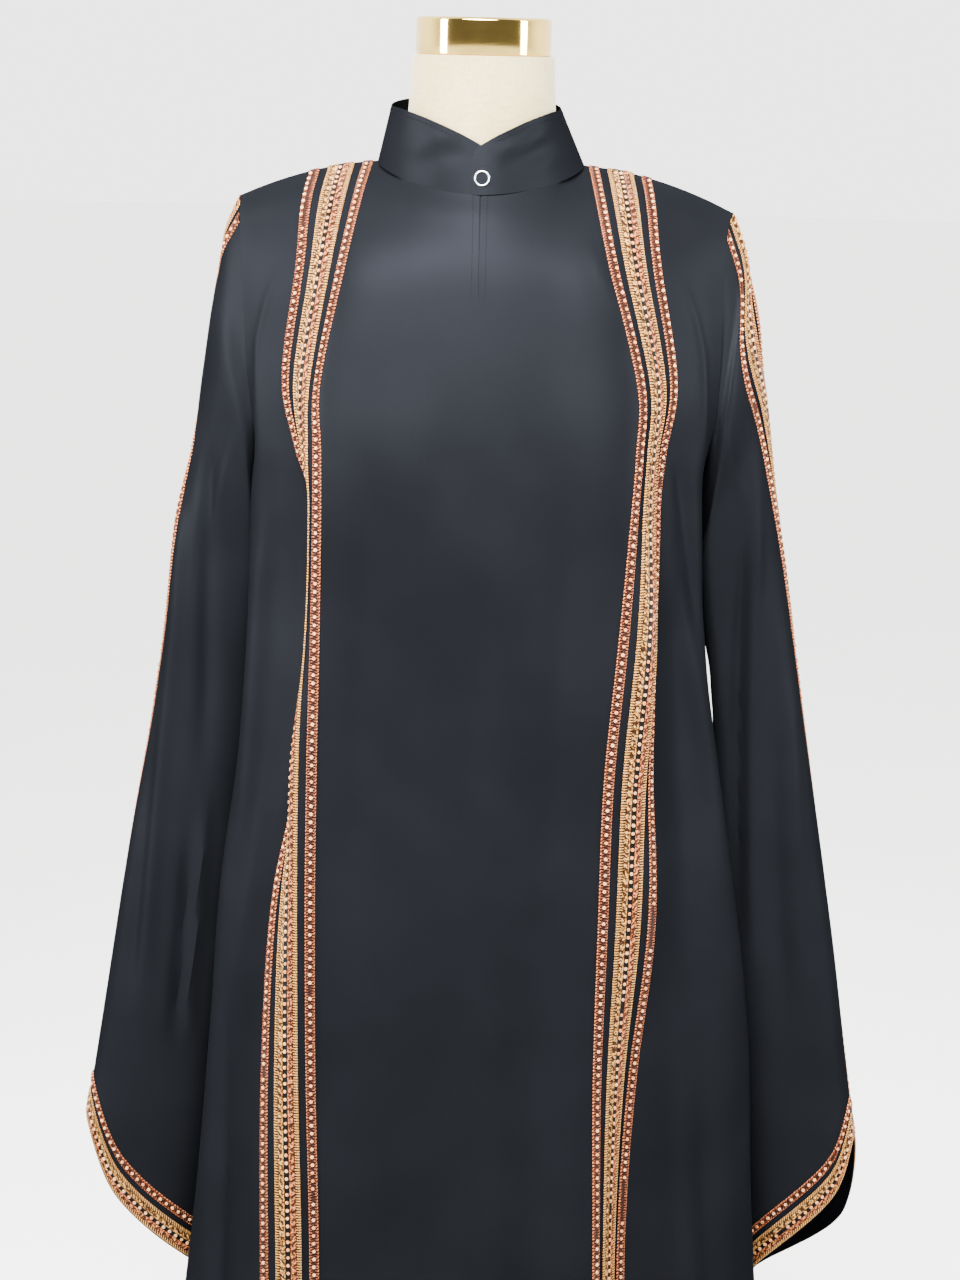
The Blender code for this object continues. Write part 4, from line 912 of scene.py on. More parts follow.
def crease_panel(panel, height, ring=False):
    """Moves the panel's points along its normals, and turns the normals to match, except at sewn edges."""
    height = height * edge_fade(panel.points, ring)
    panel.points = panel.points + panel.normals * height[..., None]
    fresh = cell_normals(panel.points, ring)
    if ring:
        panel.normals[1:] = fresh[1:]
    else:
        panel.normals[1:, 1:-1] = fresh[1:, 1:-1]


# Braids and beads
def resampled(points, at, axis):
    """A grid of points read at distances along one of its axes."""
    lines = np.moveaxis(points, axis, 0)
    along = lengths(lines[:, lines.shape[1] // 2, :3])
    flat = smooth_curve(along, lines.reshape(len(lines), -1), at)
    return np.moveaxis(flat.reshape(len(at), *lines.shape[1:]), 0, axis)


def braid_piece(name, panel, rows, columns, kind, round_cuff=False):
    """A relief of stitches over a strip of the panel, and the line that its beads follow."""
    patch = np.concatenate([panel.points, panel.normals], axis=2)[rows][:, columns]
    if round_cuff:
        patch = patch.transpose(1, 0, 2)
        patch = np.concatenate([patch, patch[:1]])
    total = lengths(patch[:, patch.shape[1] // 2, :3])[-1]
    beads = int(round(total / BEAD_PITCH))
    steps = np.linspace(0.0, total, beads * ROWS_PER_BEAD + 1)
    patch = resampled(patch, steps, 0)
    profile = BRAID_PROFILES[kind]
    width = lengths(patch[len(patch) // 2, :, :3])[-1]
    half = profile[-1].across
    patch = resampled(patch, np.array([(spot.across / half + 1) / 2 * width for spot in profile]), 1)
    points, normals = patch[..., :3], unit(patch[..., 3:])
    turn = np.arange(len(steps)) / ROWS_PER_BEAD
    swell = np.array([spot.swell * np.cos(2 * np.pi * (turn - spot.lag)) for spot in profile]).T
    height = np.array([spot.height for spot in profile]) + swell
    high = points + normals * (BRAID_LIFT + height)[..., None]
    low = points + normals * BRAID_UNDER
    across = np.tile([spot.across for spot in profile], (len(steps), 1))
    along = np.repeat((turn * BEAD_PITCH)[:, None], len(profile), axis=1)
    middle = len(profile) // 2
    line = points[:, middle], normals[:, middle], unit(points[:, middle + 1] - points[:, middle - 1])
    if round_cuff:
        high, low, across, along = (grid[:-1].swapaxes(0, 1) for grid in (high, low, across, along))
    mesh = thin_shell(name, high, low, ring=round_cuff)
    set_track(mesh, np.tile(across.ravel(), 2), np.tile(along.ravel(), 2), beads * BEAD_PITCH)
    return new_object(name, mesh, FINISHES[kind]), line


def ball(sides, rings):
    """The corners and triangles of a small round body of radius 1, one stitch."""
    turns = np.linspace(0, 2 * np.pi, sides, endpoint=False)
    rises = np.linspace(-np.pi / 2, np.pi / 2, rings + 1)[1:-1]
    corners = [(np.cos(r) * np.cos(t), np.cos(r) * np.sin(t), np.sin(r)) for r in rises for t in turns]
    corners += [(0, 0, -1), (0, 0, 1)]
    low, high = len(corners) - 2, len(corners) - 1
    faces = []
    for k in range(sides):
        nxt = (k + 1) % sides
        faces.append((low, nxt, k))
        faces.append((high, high - 1 - sides - 1 + k, high - 1 - sides - 1 + nxt))
        for ring in range(len(rises) - 1):
            a, b = ring * sides + k, ring * sides + nxt
            faces += [(a, b, b + sides), (a, b + sides, a + sides)]
    return np.array(corners), np.array(faces)


def dished(sides, profile):
    """The corners and triangles of a small turned bead. Its profile runs from the foot in to the middle."""
    turns = np.linspace(0, 2 * np.pi, sides, endpoint=False)
    corners = [(out * np.cos(t), out * np.sin(t), rise) for out, rise in profile[:-1] for t in turns]
    corners.append((0.0, 0.0, profile[-1][1]))
    faces = []
    for k in range(sides):
        nxt = (k + 1) % sides
        for ring in range(len(profile) - 2):
            a, b = ring * sides + k, ring * sides + nxt
            faces += [(a, b, b + sides), (a, b + sides, a + sides)]
        inner = (len(profile) - 2) * sides
        faces.append((inner + k, inner + nxt, len(corners) - 1))
    return np.array(corners), np.array(faces)


def many(name, corners, faces, centres, axes, sizes, material):
    """Copies of a small body as one mesh: each at a centre, turned to three axes and stretched along them."""
    scaled = corners[None] * np.asarray(sizes, float).reshape(-1, 1, 3)
    scaled = np.broadcast_to(scaled, (len(centres), *corners.shape))
    points = centres[:, None] + np.einsum("nij,nkj->nki", axes, scaled)
    numbers = faces[None] + np.arange(len(centres))[:, None, None] * len(corners)
    return new_object(name, new_mesh(name, points, numbers.reshape(-1, faces.shape[1])), material)


def bead_row(name, line, kind, shift, above):
    """The beads of a braid, a few of them missing."""
    points, normals, side = (part[BEAD_STEP::ROWS_PER_BEAD] for part in line)
    draw = np.random.default_rng(sum(map(ord, name)))
    kept = draw.random(len(points)) > BEADS_MISSING
    for low, high in BEADLESS.get(name, ()):
        kept &= (points[:, 2] < low) | (points[:, 2] > high)
    stray = draw.uniform(-BEAD_STRAY, BEAD_STRAY, (len(points), 1))
    moved = np.where(points[:, 2:] > above, shift, 0.0) + stray
    centres = points + normals * BEAD_SEATS[kind] + side * moved
    ahead = unit(np.cross(normals, side))
    axes = np.stack([side, ahead, normals], axis=2)
    sizes = np.ones(3) * draw.uniform(*BEAD_SIZES, (len(points), 1))
    corners, faces = dished(BEAD_SIDES, BEAD_PROFILE)
    beads = many(name, corners, faces, centres[kept], axes[kept], sizes[kept], FINISHES["beads"])
    out = np.tile(np.hypot(corners[:, 0], corners[:, 1])[faces.ravel()], kept.sum())
    layer = beads.data.uv_layers.new(name=TRACK_MAP)
    layer.data.foreach_set("uv", np.column_stack([out, np.zeros_like(out)]).ravel() / 100.0)
    return beads


# Stitches
def line_of(panel, rows, columns):
    """A line of a panel's points with their normals."""
    return panel.points[rows, columns], panel.normals[rows, columns]


def inset_row(panel, row, way, distance, columns=slice(None)):
    """The line that lies a distance in from a row of the panel, measured towards the row way further on."""
    start, towards = panel.points[row, columns], panel.points[row + way, columns]
    return start + unit(towards - start) * distance, panel.normals[row, columns]


def inset_column(panel, column, way, distance, rows=slice(None)):
    start, towards = panel.points[rows, column], panel.points[rows, column + way]
    return start + unit(towards - start) * distance, panel.normals[rows, column]


def stitches(name, lines):
    """Rows of short thread stitches. A line is its points and the normals there."""
    centres, axes = [], []
    for points, normals in lines:
        along = lengths(points)
        count = max(2, int(along[-1] / STITCH_PITCH))
        at = (np.arange(count) + 0.5) * along[-1] / count
        spots = smooth_curve(along, np.concatenate([points, normals], axis=1), at)
        ahead = unit(smooth_curve(along, points, np.minimum(at + 0.5, along[-1])) - spots[:, :3])
        up = unit(spots[:, 3:])
        side = unit(np.cross(up, ahead))
        centres.append(spots[:, :3] + up * STITCH_LIFT)
        axes.append(np.stack([ahead, side, np.cross(ahead, side)], axis=2))
    centres, axes = np.concatenate(centres), np.concatenate(axes)
    corners, faces = ball(STITCH_SIDES, STITCH_RINGS)
    sizes = np.tile(STITCH_SIZE, (len(centres), 1))
    piece = many(name, corners, faces, centres, axes, sizes, FINISHES["thread"])
    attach(piece, "root")
    return piece


def collar_stitches(collar):
    """Topstitching along the collar's upper edge and down both its ends."""
    lines = [
        inset_row(collar, 0, 1, COLLAR_STITCH_INSET, slice(3, -3)),
        inset_column(collar, 0, 1, COLLAR_END_INSET, slice(2, -1)),
        inset_column(collar, -1, -2, COLLAR_END_INSET, slice(2, -1)),
    ]
    return stitches("collar_topstitching", lines)


def slit_stitches(front):
    """Stitching down both sides of the front opening."""
    rows = np.flatnonzero(front.points[:, HALF_COLUMNS, 2] > SLIT_END_Z)
    lines = [
        inset_column(front, HALF_COLUMNS, 1, SLIT_STITCH_INSET, rows),
        inset_column(front, HALF_COLUMNS - 1, -1, SLIT_STITCH_INSET, rows),
    ]
    return stitches("slit_stitching", lines)


def hem_stitches(name, panel):
    down = lengths_down(panel.points)
    row = int(np.argmin(np.abs(down[-1].mean() - down.mean(axis=1) - HEM_DEPTH)))
    return stitches(name, [line_of(panel, row, slice(1, -1))])


# Shader maths
class Value:
    """A socket in a finish. Operators on it add Math nodes."""

    def __init__(self, finish, socket):
        self.finish, self.socket = finish, socket

    def maths(self, operation, *others):
        return self.finish.add("Math", {"operation": operation}, dict(enumerate((self, *others))))

    def __add__(self, other):
        return self.maths("ADD", other)

    def __sub__(self, other):
        return self.maths("SUBTRACT", other)

    def __rsub__(self, other):
        return (self * -1.0) + other

    def __mul__(self, other):
        return self.maths("MULTIPLY", other)

    def __truediv__(self, other):
        return self.maths("DIVIDE", other)

    __radd__, __rmul__ = __add__, __mul__

    def size(self):
        return self.maths("ABSOLUTE")

    def fraction(self):
        return self.maths("FRACT")

    def wave(self):
        """From 0 to 1 and back for each unit of the value."""
        return (self * (2 * np.pi)).maths("SINE") * 0.5 + 0.5

    def between(self, low, high):
        """0 below low, 1 above high, and smooth between them."""
        settings = {"interpolation_type": "SMOOTHSTEP", "clamp": True}
        return self.finish.add("MapRange", settings, {"Value": self, "From Min": low, "From Max": high})


class Finish:
    """A material and its shader, with its constant sockets set directly."""

    def __init__(self, name, **constants):
        self.material = bpy.data.materials.new(name)
        self.material.use_nodes = True
        self.tree = self.material.node_tree
        self.shader = self.tree.nodes["Principled BSDF"]
        for key, value in constants.items():
            self.shader.inputs[key.replace("_", " ").title().replace("Ior", "IOR")].default_value = value

    def add(self, kind, settings=None, sockets=None, out=0):
        node = self.tree.nodes.new(f"ShaderNode{kind}")
        for key, value in (settings or {}).items():
            setattr(node, key, value)
        for key, value in (sockets or {}).items():
            if isinstance(value, Value):
                self.tree.links.new(value.socket, node.inputs[key])
            else:
                node.inputs[key].default_value = value
        return Value(self, node.outputs[out])

    def place(self):
        """The point of the surface, in millimetres."""
        point = self.add("TexCoord", out="Object")
        return self.add("VectorMath", {"operation": "SCALE"}, {0: point, "Scale": 1000.0})

    def stretched(self, vector, scale):
        return self.add("VectorMath", {"operation": "MULTIPLY"}, {0: vector, 1: scale})

    def noise(self, vector, scale, detail=2.0):
        return self.add("TexNoise", {}, {"Vector": vector, "Scale": scale, "Detail": detail})

    def track(self):
        """How far across and along its track a point lies, in millimetres."""
        spot = self.add("UVMap", {"uv_map": TRACK_MAP})
        across = self.add("SeparateXYZ", {}, {"Vector": spot})
        along = Value(self, across.socket.node.outputs["Y"])
        return across * 100.0, along * 100.0

    def mix(self, low, high, share):
        """Two colours mixed. Each is a value or three numbers."""
        low, high = (colour if isinstance(colour, Value) else (*colour, 1) for colour in (low, high))
        return self.add("Mix", {"data_type": "RGBA"}, {"Factor": share, 6: low, 7: high}, out=2)

    def feed(self, socket, value):
        self.tree.links.new(value.socket, self.shader.inputs[socket])

    def raise_by(self, height, strength, distance):
        sockets = {"Height": height, "Strength": strength, "Distance": distance}
        self.feed("Normal", self.add("Bump", {}, sockets))


# Finishes
def cloth_finish():
    """Crepe: near black with a cool cast, a fine pebbled grain and hardly any gloss; a painted sheen lightens
    the grain's raised tops and soft clouds.
    """
    cloth = Finish("black_crepe", metallic=0.4, specular_ior_level=0.0, specular_tint=(0.10, 0.10, 0.10, 1))
    place = cloth.place()
    grain = cloth.noise(place, 1.5, 3.0)
    yarn = cloth.noise(cloth.stretched(place, (1.0, 1.0, 0.12)), 0.9, 1.0)
    cloud = cloth.noise(place, 0.011, 2.0)
    # Painted sheen: the black is lighter where the grain stands high and in broad soft clouds
    painted_sheen = (grain * 0.5 + cloud * 0.5).between(0.35, 0.7)
    lighter = tuple(CREPE_LIGHTER * part for part in CREPE_BLACK)
    cloth.feed("Base Color", cloth.mix(CREPE_BLACK, lighter, painted_sheen))
    cloth.feed("Roughness", cloud * 0.10 + grain * 0.08 + CREPE_ROUGHNESS)
    cloth.raise_by(grain * 0.7 + yarn * 0.3, 0.35, 0.0004)
    return cloth.material


def wide_braid_finish():
    """Gold and peach thread: laddered edges, overlapping leaves and a black line between the centre beads."""
    braid = Finish("wide_braid_thread", specular_ior_level=0.07)
    across, along = braid.track()
    speckle = braid.noise(braid.place(), 0.62, 2.0)
    patch = braid.noise(braid.place(), 0.25, 1.0)
    far, side = across.size(), across.between(-0.4, 0.4)
    turn = along / BEAD_PITCH
    leaf = (turn + far * 0.10 + side * 0.4 + patch * 0.9).fraction()
    gold = braid.mix((0.12, 0.045, 0.009), (0.42, 0.215, 0.058), speckle.between(0.44, 0.60))
    peach = braid.mix((0.12, 0.028, 0.008), (0.38, 0.120, 0.045), speckle.between(0.44, 0.60))
    surface = braid.mix(gold, peach, side * patch.between(0.30, 0.42))
    slash = (1 - leaf.between(0.26, 0.38)) * far.between(2.4, 3.6)
    surface = braid.mix(surface, (0.014, 0.004, 0.0015), slash * 0.97)
    fleck = (1 - speckle.between(0.41, 0.47)) * far.between(2.2, 3.0)
    surface = braid.mix(surface, (0.022, 0.006, 0.002), fleck * 0.95)
    rungs = (along / RUNG_PITCH + speckle * 0.4).wave()
    cord = braid.mix((0.08, 0.026, 0.006), (0.44, 0.225, 0.064), rungs.between(0.30, 0.70))
    surface = braid.mix(surface, cord, far.between(6.8, 7.2))
    hole = far.between(6.2, 6.6) * (1 - far.between(8.4, 8.9)) * (1 - rungs.between(0.45, 0.7))
    surface = braid.mix(surface, (0.010, 0.003, 0.001), hole * 0.97)
    gap = 1 - far.between(2.0, 2.5)
    surface = braid.mix(surface, (0.0025, 0.002, 0.0015), gap)
    braid.feed("Base Color", surface)
    braid.feed("Roughness", speckle * 0.25 + 0.28)
    raised = rungs * far.between(7.0, 7.3) + leaf * (1 - far.between(6.2, 6.6)) - hole - fleck
    braid.raise_by(raised + speckle * 0.5, 0.9, 0.0006)
    return braid.material


def narrow_braid_finish():
    """Copper thread: loops on both sides of the beads and a pale twisted edge."""
    braid = Finish("narrow_braid_thread", specular_ior_level=0.07)
    across, along = braid.track()
    speckle = braid.noise(braid.place(), 0.62, 2.0)
    far = across.size()
    loops = (along / RUNG_PITCH + across.between(-0.3, 0.3) * 0.5 + speckle * 0.6).wave()
    surface = braid.mix((0.007, 0.0014, 0.001), (0.115, 0.022, 0.008), loops.between(0.45, 0.80))
    surface = braid.mix(surface, (0.31, 0.088, 0.034), loops.between(0.6, 0.9) * speckle.between(0.46, 0.56))
    channel = (1 - far.between(1.3, 1.8)) * 0.9
    surface = braid.mix(surface, (0.010, 0.003, 0.0015), channel)
    twist = (along / RUNG_PITCH * 0.75 + across * 0.3).wave()
    cord = braid.mix((0.035, 0.008, 0.003), (0.42, 0.14, 0.058), twist.between(0.30, 0.65))
    surface = braid.mix(surface, cord, far.between(3.1, 3.35))
    braid.feed("Base Color", surface)
    braid.feed("Roughness", speckle * 0.25 + 0.30)
    braid.raise_by(loops * 0.9 + twist * far.between(3.1, 3.35) * 0.6 + speckle * 0.5, 0.9, 0.0006)
    return braid.material


def bead_finish():
    """Small dished beads: a gold rim round a pale pink middle."""
    bead = Finish("pale_beads", roughness=0.3, specular_ior_level=0.25)
    out = bead.track()[0]
    tint = bead.noise(bead.place(), 0.05, 0.0).between(0.38, 0.6)
    middle = bead.mix((0.50, 0.205, 0.090), (0.60, 0.345, 0.20), tint)
    rim = bead.mix((0.40, 0.135, 0.036), (0.50, 0.235, 0.085), tint)
    pit = bead.mix((0.10, 0.035, 0.018), middle, out.between(0.15, 0.50))
    bead.feed("Base Color", bead.mix(pit, rim, out.between(0.95, 1.25)))
    return bead.material


def stitch_finish():
    thread = Finish("black_thread", roughness=0.6, specular_ior_level=0.05)
    twist = thread.noise(thread.place(), 2.5, 1.0)
    thread.feed("Base Color", thread.mix((0.0008, 0.0008, 0.001), (0.003, 0.003, 0.004), twist))
    return thread.material


def linen_finish():
    """Off-white linen: a plain weave with slubs."""
    linen = Finish("linen_cover", roughness=0.85, sheen_weight=0.25)
    place = linen.place()
    warp = linen.noise(linen.stretched(place, (2.2, 2.2, 0.12)), 1.0, 2.0)
    weft = linen.noise(linen.stretched(place, (0.12, 0.12, 2.2)), 1.0, 2.0)
    weave = warp * 0.5 + weft * 0.5
    cloud = linen.noise(place, 0.02, 2.0)
    slubs = (weave * 0.7 + cloud * 0.3).between(0.36, 0.62)
    linen.feed("Base Color", linen.mix((0.33, 0.255, 0.100), (0.44, 0.365, 0.180), slubs))
    linen.raise_by(weave, 0.5, 0.0005)
    return linen.material


def metal_finish(name, colour, roughness, brushed):
    """Polished or brushed metal, with faint marks round the stand's axis."""
    metal = Finish(name, metallic=1.0)
    place = metal.place()
    marks = metal.noise(metal.stretched(place, (0.05, 0.05, 3.0)), 1.0, 3.0)
    smear = metal.noise(place, 0.03, 3.0)
    dim = tuple(METAL_DIMMER * part for part in colour)
    metal.feed("Base Color", metal.mix(dim, colour, smear.between(0.3, 0.6)))
    metal.feed("Roughness", marks * brushed + smear * 0.06 + roughness)
    metal.raise_by(marks, 0.15 * min(1.0, brushed * 5), 0.0002)
    return metal.material


def floor_finish():
    floor = Finish("pale_floor", roughness=0.75)
    cloud = floor.noise(floor.place(), 0.002, 3.0)
    floor.feed("Base Color", floor.mix((0.86, 0.865, 0.85), (0.90, 0.905, 0.89), cloud))
    return floor.material


# The garment
def cloth_piece(name, node, panel, keep=None, ring=False):
    mesh = thin_shell(name, panel.points, panel.out(-CLOTH_WALL), ring, keep)
    piece = new_object(name, mesh, FINISHES["cloth"])
    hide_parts(node)
    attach(piece, "root")
    return piece


def braid_with_beads(name, panel, rows, columns, kind, round_cuff=False):
    braid, line = braid_piece(name.replace("_braid", "_stitched"), panel, rows, columns, kind, round_cuff)
    shift, above = BEAD_SHIFTS.get(name, (0.0, 0.0))
    beads = bead_row(name.replace("_braid", "_beads"), line, kind, shift, above)
    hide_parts(name)
    for piece in (braid, beads):
        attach(piece, "root")
    return [braid, beads]


def front_braids(front, side):
    """The trio down one side of the front."""
    rows = np.arange(len(front.points))
    made = []
    for braid, (first, last) in FRONT_BRAIDS.items():
        chosen = np.arange(NECK_COLUMN + first * TRIO_PARTS, NECK_COLUMN + last * TRIO_PARTS + 1)
        chosen = HALF_COLUMNS + chosen if side == "right" else HALF_COLUMNS - 1 - chosen[::-1]
        kind = "wide" if braid == "wide" else "narrow"
        made += braid_with_beads(f"front_{side}_{braid}_braid", front, rows, chosen, kind)
    return made


def sleeve_braids(sleeve, side):
    """The trio over the arm and the two bands round the cuff."""
    count, last_row = sleeve.points.shape[1], len(sleeve.points)
    arm_rows = np.arange(0, last_row - len(CUFF_BANDS) + 1)
    made = []
    for braid, (first, last) in ARM_BRAIDS.items():
        places = np.arange(first * ARM_PARTS, last * ARM_PARTS + 1)
        if side == "right":
            places = -places[::-1]
        kind = "wide" if braid == "wide" else "narrow"
        made += braid_with_beads(f"arm_{side}_{braid}_braid", sleeve, arm_rows, places % count, kind)
    for braid, (first, last) in CUFF_BRAIDS.items():
        rows = np.arange(last_row - 1 - first * CUFF_PARTS, last_row - last * CUFF_PARTS)
        name = f"cuff_{side}_{braid}_braid"
        made += braid_with_beads(name, sleeve, rows, np.arange(count), braid, round_cuff=True)
    return made


def close_slit(front):
    """Brings the two edges of the neck slit close together."""
    rows = np.flatnonzero(front.points[:, HALF_COLUMNS, 2] > SLIT_END_Z - 1.0)
    left, right = front.points[rows, HALF_COLUMNS - 1], front.points[rows, HALF_COLUMNS]
    middle, way = (left + right) / 2, unit(right - left)
    front.points[rows, HALF_COLUMNS - 1] = middle - way * SLIT_HALF
    front.points[rows, HALF_COLUMNS] = middle + way * SLIT_HALF


def slit_facing(front):
    """The strip of cloth sewn behind the slit's edges."""
    rows = np.flatnonzero(front.points[:, HALF_COLUMNS, 2] > SLIT_END_Z - FACING_EXTRA)
    left, right = front.points[rows, HALF_COLUMNS - 1], front.points[rows, HALF_COLUMNS]
    normal = unit(front.normals[rows, HALF_COLUMNS - 1] + front.normals[rows, HALF_COLUMNS])
    middle, side = (left + right) / 2 - normal * FACING_DEPTH, unit(right - left) * FACING_HALF
    grid = np.stack([middle - side, middle + side], axis=1)
    mesh = thin_shell("slit_facing", grid, grid - normal[:, None] * FACING_WALL)
    piece = new_object("slit_facing", mesh, FINISHES["cloth"])
    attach(piece, "root")
    return piece


def snap_piece(collar):
    """The socket of the snap fastener: a bright ring, with the dark collar showing through its middle."""
    out, height = SNAP_PLACE
    column = np.argmin(np.abs(collar.points[len(collar.points) // 2, :LAP_COLUMNS, 0] - out))
    line, normals = collar.points[:, column], collar.normals[:, column]
    row = np.argmin(np.abs(line[:, 2] - height))
    normal = unit(normals[row])
    spot = line[row] + (0, 0, height - line[row, 2])
    spot[0] = out
    side = unit(np.cross((0.0, 0.0, 1.0), normal))
    rise = np.cross(normal, side)
    turns = np.linspace(0, 2 * np.pi, SNAP_SIDES, endpoint=False)
    around = np.cos(turns)[:, None] * side + np.sin(turns)[:, None] * rise
    grid = np.array([spot + around * radius + normal * lift for radius, lift in SNAP_PROFILE])
    count = len(SNAP_PROFILE)
    faces = grid_faces(count + 1, SNAP_SIDES, ring=True) % (count * SNAP_SIDES)
    mesh = new_mesh("snap_socket_ring", grid, faces[:, ::-1])
    snap = new_object("snap_socket_ring", mesh, FINISHES["silver"])
    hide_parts("snap_ring")
    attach(snap, "root")
    return snap


def hem_fold(panel):
    """A slight step where the hem is folded under."""
    down = lengths_down(panel.points)
    above_hem = down[-1:] - down
    return HEM_STEP * np.clip((HEM_DEPTH - above_hem) / HEM_EASE, 0.0, 1.0)


def sleeve_heights(panel, side):
    """The sleeve's creases, one table for its front and one for its back."""
    forward = np.clip(0.5 - panel.normals[..., 1] * FRONT_SHARPNESS, 0.0, 1.0)
    front = crease_height(panel.points, SLEEVE_CREASES[side])
    behind = crease_height(panel.points, SLEEVE_BACK_CREASES[side])
    return forward * front + (1 - forward) * behind + ripple(panel.points, side) * SLEEVE_RIPPLE


def folded_panels():
    """The five panels with their seams, folds and creases."""
    front, back = body_panels()
    sleeves = {side: sleeve_panel(front, back, side) for side in ("left", "right")}
    collar = collar_panel(front, back)
    for panel in (front, back):
        seamed(panel, np.abs(panel.points[0, :, 0]) > NECK_SIDE[0] - 0.1)
    for name, panel, creases in (("front", front, FRONT_CREASES), ("back", back, BACK_CREASES)):
        height = crease_height(panel.points, creases) + ripple(panel.points, name) + hem_fold(panel)
        crease_panel(panel, height)
    for side, sleeve in sleeves.items():
        crease_panel(sleeve, sleeve_heights(sleeve, side), ring=True)
    close_slit(front)
    height, seam_normals = crease_height(collar.points, COLLAR_CREASES), collar.normals[-1].copy()
    crease_panel(collar, height * np.linspace(1.0, 0.0, len(height))[:, None])
    collar.normals[-1] = seam_normals
    return {"front": front, "back": back, "collar": collar, **sleeves}


def sew():
    """The garment: its five sheets, and what is sewn on each."""
    panels = folded_panels()
    front, back, collar = panels["front"], panels["back"], panels["collar"]
    keep = np.ones((len(front.points) - 1, front.points.shape[1] - 1), bool)
    slit_rows = front.points[1:, HALF_COLUMNS, 2] > SLIT_END_Z
    keep[slit_rows, HALF_COLUMNS - 1] = False
    cloth = {
        "front": cloth_piece("front_cloth", "front", front, keep),
        "back": cloth_piece("back_cloth", "back", back),
        "collar": cloth_piece("collar_cloth", "collar", collar),
    }
    sewn_on = {"front": []}
    for side in ("left", "right"):
        sewn_on["front"] += front_braids(front, side)
        cloth[side] = cloth_piece(f"sleeve_{side}_cloth", f"sleeve_{side}", panels[side], ring=True)
        sewn_on[side] = sleeve_braids(panels[side], side)
    sewn_on["collar"] = [collar_stitches(collar), snap_piece(collar)]
    sewn_on["front"] += [slit_facing(front), slit_stitches(front), hem_stitches("front_hem_stitches", front)]
    sewn_on["back"] = [hem_stitches("back_hem_stitches", back)]
    return cloth, sewn_on


# The form and its stand
def form_piece():
    """The padded torso: the solid's own form with its edges softened."""
    mesh = bpy.data.meshes.new_from_object(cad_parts["form_torso"])
    mesh.materials.clear()
    piece = new_object("form_torso_linen", mesh, FINISHES["linen"])
    remesh = piece.modifiers.new("even", "REMESH")
    remesh.mode, remesh.voxel_size, remesh.use_smooth_shade = "VOXEL", FORM_VOXEL, True
    smooth = piece.modifiers.new("soft", "SMOOTH")
    smooth.iterations, smooth.factor = FORM_SMOOTHINGS, FORM_SMOOTHING
    depsgraph = bpy.context.evaluated_depsgraph_get()
    fresh = bpy.data.meshes.new_from_object(piece.evaluated_get(depsgraph))
    piece.modifiers.clear()
    piece.data = fresh
    return piece


def neck_piece():
    """The linen neck of the form, up to its cap, with a narrow turned edge."""
    rings = np.array(NECK_RINGS)
    heights = rings[:, 3]
    fine = np.concatenate([np.linspace(heights[0], heights[-1], NECK_ROWS), [heights[-1] + NECK_EDGE_RISE]])
    sizes = smooth_curve(heights, rings[:, :3], np.minimum(fine, heights[-1])) + NECK_COVER
    sizes[-1] -= NECK_COVER + NECK_EDGE_IN
    turns = np.linspace(0, 2 * np.pi, ROUND_SIDES, endpoint=False)
    rows = []
    for (wide, deep_front, deep_back), height in zip(sizes, fine):
        deep = np.where(np.sin(turns) < 0, deep_front, deep_back)
        level = np.full(len(turns), height)
        rows.append(np.column_stack([wide * np.cos(turns), deep * np.sin(turns), level]))
    grid = np.array(rows)[::-1]
    inner = grid * (NECK_INSIDE, NECK_INSIDE, 1.0)
    inner[0, :, 2] -= NECK_EDGE_DROP
    mesh = thin_shell("form_neck_linen", grid, inner, ring=True)
    return new_object("form_neck_linen", mesh, FINISHES["linen"])


def rounded(outline, radius):
    """A profile whose inner corners are cut by short arcs."""
    kept = [outline[0]]
    for before, corner, after in zip(outline[:-2], outline[1:-1], outline[2:]):
        reach = min(radius, np.linalg.norm(before - corner) / 3, np.linalg.norm(after - corner) / 3)
        start = corner + (before - corner) / np.linalg.norm(before - corner) * reach
        end = corner + (after - corner) / np.linalg.norm(after - corner) * reach
        for t in (0.0, 0.33, 0.67, 1.0):
            kept.append((1 - t) ** 2 * start + 2 * t * (1 - t) * corner + t**2 * end)
    return [*kept, outline[-1]]


def turned(name, profile, material, node):
    """A piece turned about the stand's axis, with its profile's corners rounded."""
    outline = rounded(np.array(profile, float), ROUND_OFF)
    turns = np.linspace(0, 2 * np.pi, ROUND_SIDES, endpoint=False)
    ring = np.stack([np.cos(turns), np.sin(turns)], axis=1)
    points = [np.column_stack([ring * radius, np.full(len(turns), height)]) for radius, height in outline]
    mesh = bmesh.new()
    rows = [[mesh.verts.new(p / 1000.0) for p in row] for row in points]
    for low, high in zip(rows[:-1], rows[1:]):
        for k in range(len(turns)):
            n = (k + 1) % len(turns)
            mesh.faces.new((low[k], low[n], high[n], high[k]))
    mesh.faces.new(rows[0][::-1])
    mesh.faces.new(rows[-1])
    data = bpy.data.meshes.new(name)
    mesh.to_mesh(data)
    mesh.free()
    data.shade_smooth()
    data.set_sharp_from_angle(angle=SHARP_ANGLE)
    piece = new_object(name, data, material)
    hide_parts(node)
    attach(piece, "root")
    return piece


def build_form():
    form, neck = form_piece(), neck_piece()
    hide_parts("form_torso")
    for piece in (form, neck):
        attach(piece, "root")
    turned("neck_cap_gold", CAP_PROFILE, FINISHES["gold"], "neck_cap")
    turned("pole_steel", POLE_PROFILE, FINISHES["steel"], "pole")
    turned("base_steel", BASE_PROFILE, FINISHES["steel"], "base")


